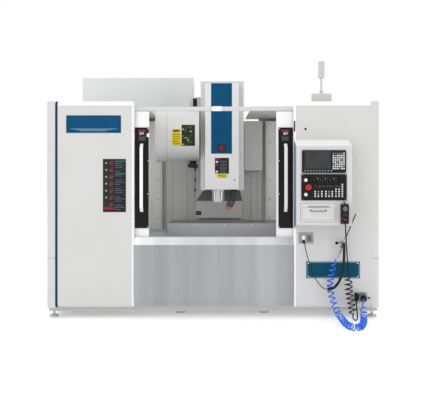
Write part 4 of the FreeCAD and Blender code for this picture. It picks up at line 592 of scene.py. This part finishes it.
DISPLAY = -1262  # Y of the display unit's plate
PAD = -1260  # Y of the operator panel's plate
display = Piece("display_screen", "machine_frame", "black_plastic")
display.pad(FRONT, 970, DISPLAY, 1520, 252, 176, 1.0, DARK, 4)
display.pad(FRONT, 975, DISPLAY - 1.0, 1521, 234, 160, 0.5, SCREEN, 3)
display.pad(FRONT, 1166, DISPLAY, 1516, 124, 168, 0.5, DARK, 3)
for i in range(4):
    display.screw(FRONT, 834 if i % 2 else 1227, DISPLAY, 1408 if i < 2 else 1603, 3)
for i in range(6):
    for j in range(8):
        x, z = 1235 - 119 + 19.6 * i, 1400 + 40 + 20.1 * j
        mat = KEY_TEAL if j == 7 and i < 5 else KEY_GREY if (i * 3 + j) % 7 == 2 else KEY
        display.pad(FRONT, x, DISPLAY - 3.6, z, 14, 14, 1.6, mat, 2.5, 0.8)
for i in range(10):
    display.pad(FRONT, 826 + 27 + 27.2 * i, DISPLAY - 3.6, 1420, 13.6, 13.6, 1.6, KEY_GREY, 2.5, 0.8)
display.done()

panel = Piece("operator_panel_keys", "machine_frame", "black_plastic")
KNOBS = {"mode_knob": 970, "feed_knob": 1040, "spindle_knob": 1119}
KNOB_HEIGHT = 22
COLUMNS = (127, 157, 189, 227, 256, 285, 320, 349, 379)
cells = [(x, z) for z in (39, 61, 82) for x in COLUMNS] + [(x, 103) for x in COLUMNS[6:]] + [(379, 126), (379, 147)]
for x, z in cells:
    mat = KEY_TAN if x == 157 and z > 45 else KEY_GREY if x == 256 and z != 39 else KEY_PINK if x == 320 and z == 61 \
        else KEY
    panel.pad(FRONT, 820 + x, PAD - 3.6, 1145 + z, 14.2, 14.2, 1.6, mat, 2.5, 0.8)
panel.washer(FRONT, 883, PAD, 1266, [(32, -0.3), (32, 1.2), (30.5, 1.6)], 27.6, DARK)
for z in (1333, 1199):
    panel.washer(FRONT, 861, PAD, z, [(17, -0.3), (17, 1.2), (15, 2), (13, 2)], 12.6, ZINC)
for x in KNOBS.values():
    for i in range(11):
        angle = math.radians(-40 + 26 * i)
        panel.pad(FRONT, x + 27 * math.cos(angle), PAD, 1334 + 27 * math.sin(angle), 3, 3, 0.4,
                  (KEY, KEY_PINK, KHAKI)[i % 3], 1.4)
for i in range(14):
    panel.pad(FRONT, 950 + 19 * i, PAD, 1278, 9, 3, 0.4, (KEY_GREY, MAROON, KHAKI, KEY_GREY)[i % 4], 1)
    panel.pad(FRONT, 952 + 19 * i, PAD, 1270, 6, 3, 0.4, KEY_GREY, 1)
for x in (829, 1232):
    for z in (1153, 1380):
        panel.screw(FRONT, x, PAD, z, 3)
panel.done()

for name, x in KNOBS.items():
    cap = Piece(name + "_pointer", name + "_body", "black_plastic")
    cap.pad(FRONT, x, PAD - KNOB_HEIGHT, 1343, 2.6, 17, 0.6, KEY, 1)
    cap.done()
mark = Piece("estop_ring_mark", "estop_body", "red_plastic")
mark.lathe(FRONT, 883, -1292, 1266, [(17, -0.2), (17, 0.3), (12, 0.6), (9, 0.6)], LABEL_RED, 28)
mark.done()

# --- drawer, pendant ---------------------------------------------------------------------------------------

pull = Piece("drawer_pull", "drawer_body", "dark_metal")
pull.tube([(908, -1256, 1050), (908, -1268, 1050), (914, -1276, 1048), (940, -1279, 1045), (980, -1280, 1044),
           (1020, -1279, 1045), (1044, -1276, 1048), (1050, -1268, 1050), (1050, -1256, 1050)], 4, DARK_GREY)
for x in (908, 1050):
    pull.lathe(FRONT, x, -1256, 1050, [(8, -0.3), (8, 2), (6, 3)], DARK_GREY)
pull.pad(FRONT, 980, -1256, 1086, 200, 10, 0.5, DARK_GREY, 4)
pull.pad(FRONT, 980, -1256.3, 1091, 208, 4, 4, WHITE, 2, 1)
for x, z, wide, tall in ((977.5, 1080, 292, 2), (977.5, 964, 292, 2), (832, 1022, 2, 116), (1123, 1022, 2, 116)):
    pull.pad(FRONT, x, -1256, z, wide, tall, 0.4, DARK_GREY, 0.8, 0.1)
pull.done()

seam = Piece("console_trim", "machine_frame", "white_paint")
seam.pad(FRONT, 1032.5, -1250, 1120, 480, 1.8, 0.3, DARK_GREY, 1)
for x in (813, 1142):
    seam.pad(FRONT, x, -1250, 1030, 2.2, 168, 0.3, DARK_GREY, 1)
seam.pad(FRONT, 977.5, -1250, 943, 330, 2.2, 0.3, DARK_GREY, 1)
seam.done()

remote = Piece("pendant_marks", "machine_frame", "black_plastic")
for i in range(20):
    angle = 2 * math.pi * i / 20
    remote.pad(FRONT, 1217 + 30.5 * math.cos(angle), -1308, 1069 + 30.5 * math.sin(angle), 1.8, 1.8, 0.4, KEY, 0.8)
for z in (1002, 960):
    for i in range(5):
        angle = math.radians(20 + 35 * i)
        remote.pad(FRONT, 1217 + 15 * math.cos(angle), -1308, z + 15 * math.sin(angle), 3, 2.4, 0.4, KEY, 1)
remote.pad(FRONT, 1192, -1308, 980, 8, 12, 0.6, RED, 2)
remote.tube([(1217, -1290, 1112), (1217, -1290, 1120), (1213, -1288, 1128), (1204, -1284, 1130)], 5, RUBBER)
for x in (1188, 1246):
    for z in (938, 1104):
        remote.screw(FRONT, x, -1308, z, 2.5)
remote.done()

dial = Piece("handwheel_face", "dial_body", "black_plastic")
dial.lathe(FRONT, 1217, -1320, 1069, [(22, -0.2), (22, 0.5), (20, 0.9)], DARK_GREY, 28)
dial.pad(FRONT, 1217, -1320.9, 1083, 2, 10, 0.3, KEY, 0.8)
dial.done()
for name, z in (("axis_selector", 1002), ("step_selector", 960)):
    tick = Piece(name + "_pointer", name + "_body", "black_plastic")
    tick.pad(FRONT, 1217, -1321, z + 4, 2, 8, 0.4, KEY, 0.8)
    tick.done()

swivel = Piece("air_gun_swivel", "machine_frame", "zinc_steel")
GUN_FOOT, HOSE_END = Vector((1213, -1125, 684)), Vector((1166.5, -1125, 591))
for low, high, radius, mat in ((0, 0.06, 11, DARK), (0.06, 0.34, 9, DARK_GREY), (0.34, 0.42, 11, DARK),
                               (0.42, 0.7, 8, PLATE_GREY), (0.7, 0.78, 10.5, DARK), (0.78, 1, 8, DARK_GREY)):
    swivel.tube([GUN_FOOT.lerp(HOSE_END, low), GUN_FOOT.lerp(HOSE_END, (low + high) / 2),
                 GUN_FOOT.lerp(HOSE_END, high)], radius, mat, 6 if radius > 9 else 12)
swivel.done()

# --- head --------------------------------------------------------------------------------------------------

head = Piece("head_signs", "head_body", "blue_paint")
FACE = -400  # Y of the head's front cover
head.pad(FRONT, 89, FACE, 1974, 219, 738, 1.0, NAVY, 3)
head.pad(FRONT, 91, FACE - 1, 1665, 88, 82, 0.5, DARK, 3)
for i in range(8):
    angle = math.pi * i / 4
    head.pad(FRONT, 91 + 24 * math.cos(angle), FACE - 1.5, 1665 + 24 * math.sin(angle), 9, 9, 0.3, LABEL_RED, 4)
head.lathe(FRONT, 91, FACE - 1.5, 1665, [(12, -0.2), (12, 0.3), (9, 0.4)], LABEL_RED)
head.pad(FRONT, 93, FACE, 1480, 148, 164, 0.5, SLATE, 3)
head.pad(FRONT, 46, FACE - 0.5, 1550, 50, 12, 0.3, LABEL_RED, 2)
for i in range(4):
    head.pad(FRONT, 40, FACE - 0.5, 1520 - 34 * i, 26, 20, 0.3, (KEY, LABEL_RED, MAROON, KEY)[i], 4)
    for k in range(3):
        head.pad(FRONT, 108, FACE - 0.5, 1528 - 34 * i - 9 * k, 86 - 14 * k, 4, 0.3, LINE, 1)
head.pad(FRONT, 98, FACE, 1374, 108, 44, 0.5, YELLOW, 3)
head.pad(FRONT, 68, FACE - 0.5, 1377, 16, 16, 0.3, DARK, 7)
for i in range(3):
    head.pad(FRONT, 108, FACE - 0.5, 1386 - 10 * i, 48, 3, 0.3, DARK, 1)
head.lathe(FRONT, 225, FACE, 1331, [(7, -0.3), (7, 1.5), (5, 3), (2, 3)], DARK)
for x in (-62, 250):
    for z in (1258, 1600, 2000, 2322):
        head.screw(FRONT, x, FACE, z, 5, CAP_WHITE)
head.done()

hoses = Piece("coolant_hoses", "head_body", "black_plastic")
for k in range(4):
    start = Vector((236 - 15 * k, -160 - 6 * k, 1236))
    finish = Vector((178 - 15 * k, -186 + 8 * k, 996 + 8 * k))
    spots = []
    for i in range(15):
        t = i / 14
        spot = start.lerp(finish, t)
        spot.x += (46 - 12 * k) * math.sin(math.pi * t) * (1 - t) - 8 * t * (1 - t)
        spot.z -= 26 * math.sin(math.pi * t)
        spots.append(spot)
    for i in range(13):
        ahead = spots[i + 1] - spots[i]
        hoses.tube([spots[i] - ahead * 0.02, spots[i] + ahead * 0.3, spots[i] + ahead * 0.7,
                    spots[i + 1] - ahead * 0.02], (7.5, 8.5)[i % 2], ORANGE if i > 10 else HOSE_GREY, 12)
    hoses.tube([spots[13], spots[13] + (spots[14] - spots[13]) * 0.9], 4, ORANGE, 12)
    hoses.pad(TOP, start.x, start.y, 1232, 18, 18, 8, DARK, 5, 2)
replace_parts(hoses.done(), "coolant_nozzles")

# --- tool magazine -----------------------------------------------------------------------------------------

drum = Piece("magazine_labels", "machine_frame", "white_paint")
DRUM_Y, DRUM_Z, DRUM_R = -170, 1823, 294


def wrapped(piece, x0, x1, z0, z1, lift, mat, steps=10):
    """A thin label laid round the front of the drum between two heights."""
    low, high = (math.asin((z - DRUM_Z) / DRUM_R) for z in (z0, z1))
    rings = []
    for i in range(steps + 1):
        angle = low + (high - low) * i / steps
        rings.append([(x, DRUM_Y - r * math.cos(angle), DRUM_Z + r * math.sin(angle))
                      for x, r in ((x0, DRUM_R - 0.4), (x1, DRUM_R - 0.4), (x1, DRUM_R + lift), (x0, DRUM_R + lift))])
    piece.rings(Matrix.Identity(4), rings, mat)


wrapped(drum, -426, -334, 1690, 1860, 0.8, YELLOW)
for i in range(5):
    wrapped(drum, -418, -342 - 10 * (i % 2), 1706 + 24 * i, 1711 + 24 * i, 1.1, DARK, 2)
wrapped(drum, -412, -348, 1832, 1850, 1.1, DARK, 3)
wrapped(drum, -326, -187, 1686, 1904, 0.8, GREEN)
for i in range(9):
    for k in range(5):
        wrapped(drum, -320 + 27 * k, -302 + 27 * k, 1696 + 22 * i, 1708 + 22 * i, 1.1,
                (KHAKI, SLATE, OLIVE, MAROON, SLATE, OLIVE, GREEN)[(3 * i + 2 * k + i * k) % 7], 2)
SEAM_STEPS = 63
seam_ring = []
for i in range(SEAM_STEPS + 1):
    angle = math.radians(-100 + 290 * i / SEAM_STEPS)
    seam_ring.append([(x, DRUM_Y - r * math.cos(angle), DRUM_Z + r * math.sin(angle))
                      for x, r in ((-482, DRUM_R - 0.4), (-479.8, DRUM_R - 0.4), (-479.8, DRUM_R + 0.6),
                                   (-482, DRUM_R + 0.6))])
drum.rings(Matrix.Identity(4), seam_ring, DARK_GREY)
drum.pad(FRONT, -190, -300, 2146, 44, 96, 14, BLACK, 4, 2)
drum.pad(FRONT, -180, -314, 2172, 14, 36, 8, DARK, 3, 2)
drum.done()

# --- work space --------------------------------------------------------------------------------------------

lining = Piece("lining_fixings", "machine_frame", "zinc_steel")
for i in range(6):
    z = 884 + 219 * i
    lining.screw(FRONT, 660, 470, z, 7, DARK_GREY)
    lining.screw(FRONT, -640, 470, z, 7, DARK_GREY)
for x, low, high in ((-613, 740, 2004), (632, 740, 2004)):
    lining.pad(FRONT, x, 470, (low + high) / 2, 14, high - low, 3, LIGHT_GREY, 2, 1)
for x in (-470, -300, 440, 520):
    lining.pad(FRONT, x, 550, 1200, 3, 900, 0.4, DARK_GREY, 1)
lining.pad(FRONT, 384, 553, 1372, 84, 1268, 4, INNER, 2, 1)
lining.pad(FRONT, -166, 435, 944, 60, 46, 0.8, MAROON, 3)
lining.pad(FRONT, -166, 434.2, 944, 40, 8, 0.3, KEY_PINK, 1)
lining.done()

strip = Piece("column_strip_clips", "machine_frame", "black_plastic")
strip.pad(FRONT, -207, 470, 1680, 6, 1100, 7, DARK_GREY, 2)
for z in (1210, 1330, 1450, 1570):
    strip.pad(FRONT, -207, 461, z, 16, 34, 6, DARK, 3)
strip.pad(FRONT, 318, 461, 1198, 34, 44, 10, CAP_WHITE, 10, 3)
strip.done()

bench = Piece("table_front_screws", "table_body", "zinc_steel")
for x in (-450, -161, 124, 409, 700):
    bench.screw(FRONT, x, -450, 866, 7, CAP_WHITE)
bench.done()

apron = Piece("apron_fixings", "machine_frame", "stainless")
for x in range(-700, 771, 294):
    apron.screw(FRONT, x, -1042, 192, 5)
apron.done()

# --- beam over the doorway ---------------------------------------------------------------------------------

beam = Piece("beam_joint", "machine_frame", "white_paint")
beam.pad(FRONT, 40, -985, 2021, 96, 46, 8, GLOSS_WHITE_AND_PAINTED_HIGHLIGHT, 6, 2)
for x in (8, 72):
    beam.screw(FRONT, x, -993, 2021, 5, LIGHT_GREY)
beam.done()

# --- lamp --------------------------------------------------------------------------------------------------

lamp = Piece("signal_lamp_bands", "machine_frame", "lamp_plastic")
for i in range(4):
    z = 2349 + 54 * i
    lamp.lathe(TOP, 1080, -750, z - 2, [(31.4, 0), (32.4, 1), (32.4, 3), (31.4, 4)], LIGHT_GREY, 28)
for x in (1010, 1150):
    lamp.screw(FRONT, x, -790, 2080, 5)
lamp.done()

# --- sides, back and top -----------------------------------------------------------------------------------

rear = Piece("rear_cabinet_fittings", "cabinet_door_body", "dark_metal")
BACK_FACE = 1326.3  # Y of the cabinet door
for z in (700, 1500, 2200):
    rear.pad(BACK, -292, BACK_FACE - 1, z, 44, 130, 1.0, DARK, 6, 0.5)
    rear.lathe(BACK, -292, BACK_FACE - 1, z, [(14, -0.2), (14, 1.0), (9, 1.0), (8, 0.4)], STEEL)
for i in range(16):
    rear.pad(BACK, -892, BACK_FACE - 0.6, 520 + 22 * i, 460, 9, 0.7, DARK_GREY, 4, 0.4)
rear.pad(BACK, -892, BACK_FACE - 0.7, 1880, 320, 320, 0.8, DARK_GREY, 20, 0.5)
for i in range(9):
    rear.pad(BACK, -892, BACK_FACE - 0.2, 1760 + 30 * i, 280, 10, 0.3, DARK, 4, 0.2)
rear.done()
hinges = Piece("rear_cabinet_hinges", "machine_frame", "zinc_steel")
for z in (420, 1330, 2260):
    hinges.lathe(TOP, -1558, 1317, z - 55, [(7, 0), (7, 110), (5, 113)], ZINC, 14)
hinges.done()
vents = Piece("side_vents", "machine_frame", "dark_metal")
for i in range(12):
    vents.pad(LEFT, -1550, 980, 1900 + 26 * i, 320, 10, 3, DARK_GREY, 4, 1)
    vents.pad(RIGHT, -234, 1200, 500 + 26 * i, 160, 10, 3, DARK_GREY, 4, 1)
for z in (300, 583, 900, 1500, 2000):
    for x in (-1500, -960, -420, 620, 1080, 1540):
        vents.screw(BACK, x, 624, z, 6, ZINC)
vents.done()

# --- floor, light ------------------------------------------------------------------------------------------

REACH = 40
floor_mesh = bpy.data.meshes.new("floor")
floor_mesh.from_pydata([(-REACH, -REACH, 0), (REACH, -REACH, 0), (REACH, REACH, 0), (-REACH, REACH, 0)], [],
                       [(0, 1, 2, 3)])
floor = bpy.data.objects.new("floor", floor_mesh)
floor_mesh.materials.append(surface("studio_floor", (0.85, 0.85, 0.85), 0.6, tone=0.005, grain=200,
                                    grain_height=0.02, emit=0.35))
scene.collection.objects.link(floor)
floor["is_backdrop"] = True

world = bpy.data.worlds.new("studio")
world.use_nodes = True
world.node_tree.nodes["Background"].inputs["Color"].default_value = (1, 1, 1, 1)
world.node_tree.nodes["Background"].inputs["Strength"].default_value = 1.0
scene.world = world
scene.view_settings.view_transform = "Standard"


def area(name, spot, target, size, power):
    data = bpy.data.lights.new(name, "AREA")
    data.shape, data.size, data.size_y, data.energy = "RECTANGLE", *size, power
    item = bpy.data.objects.new(name, data)
    item.location = spot
    item.rotation_euler = (Vector(target) - Vector(spot)).to_track_quat("-Z", "Y").to_euler()
    scene.collection.objects.link(item)


area("key", (-3.5, -6.5, 6.5), (0, 0, 1), (4, 3), 110)
area("fill", (5, -5, 3), (0, 0, 1), (3, 3), 25)
area("above", (0, 0.5, 6), (0, 0, 0), (5, 4), 45)
area("inner_left", (-1.15, -0.6, 1.5), (0.5, 0.5, 1.3), (0.4, 0.9), 5)
area("inner_right", (1.2, -0.6, 1.5), (-0.4, 0.5, 1.3), (0.4, 0.9), 5)

low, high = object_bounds()
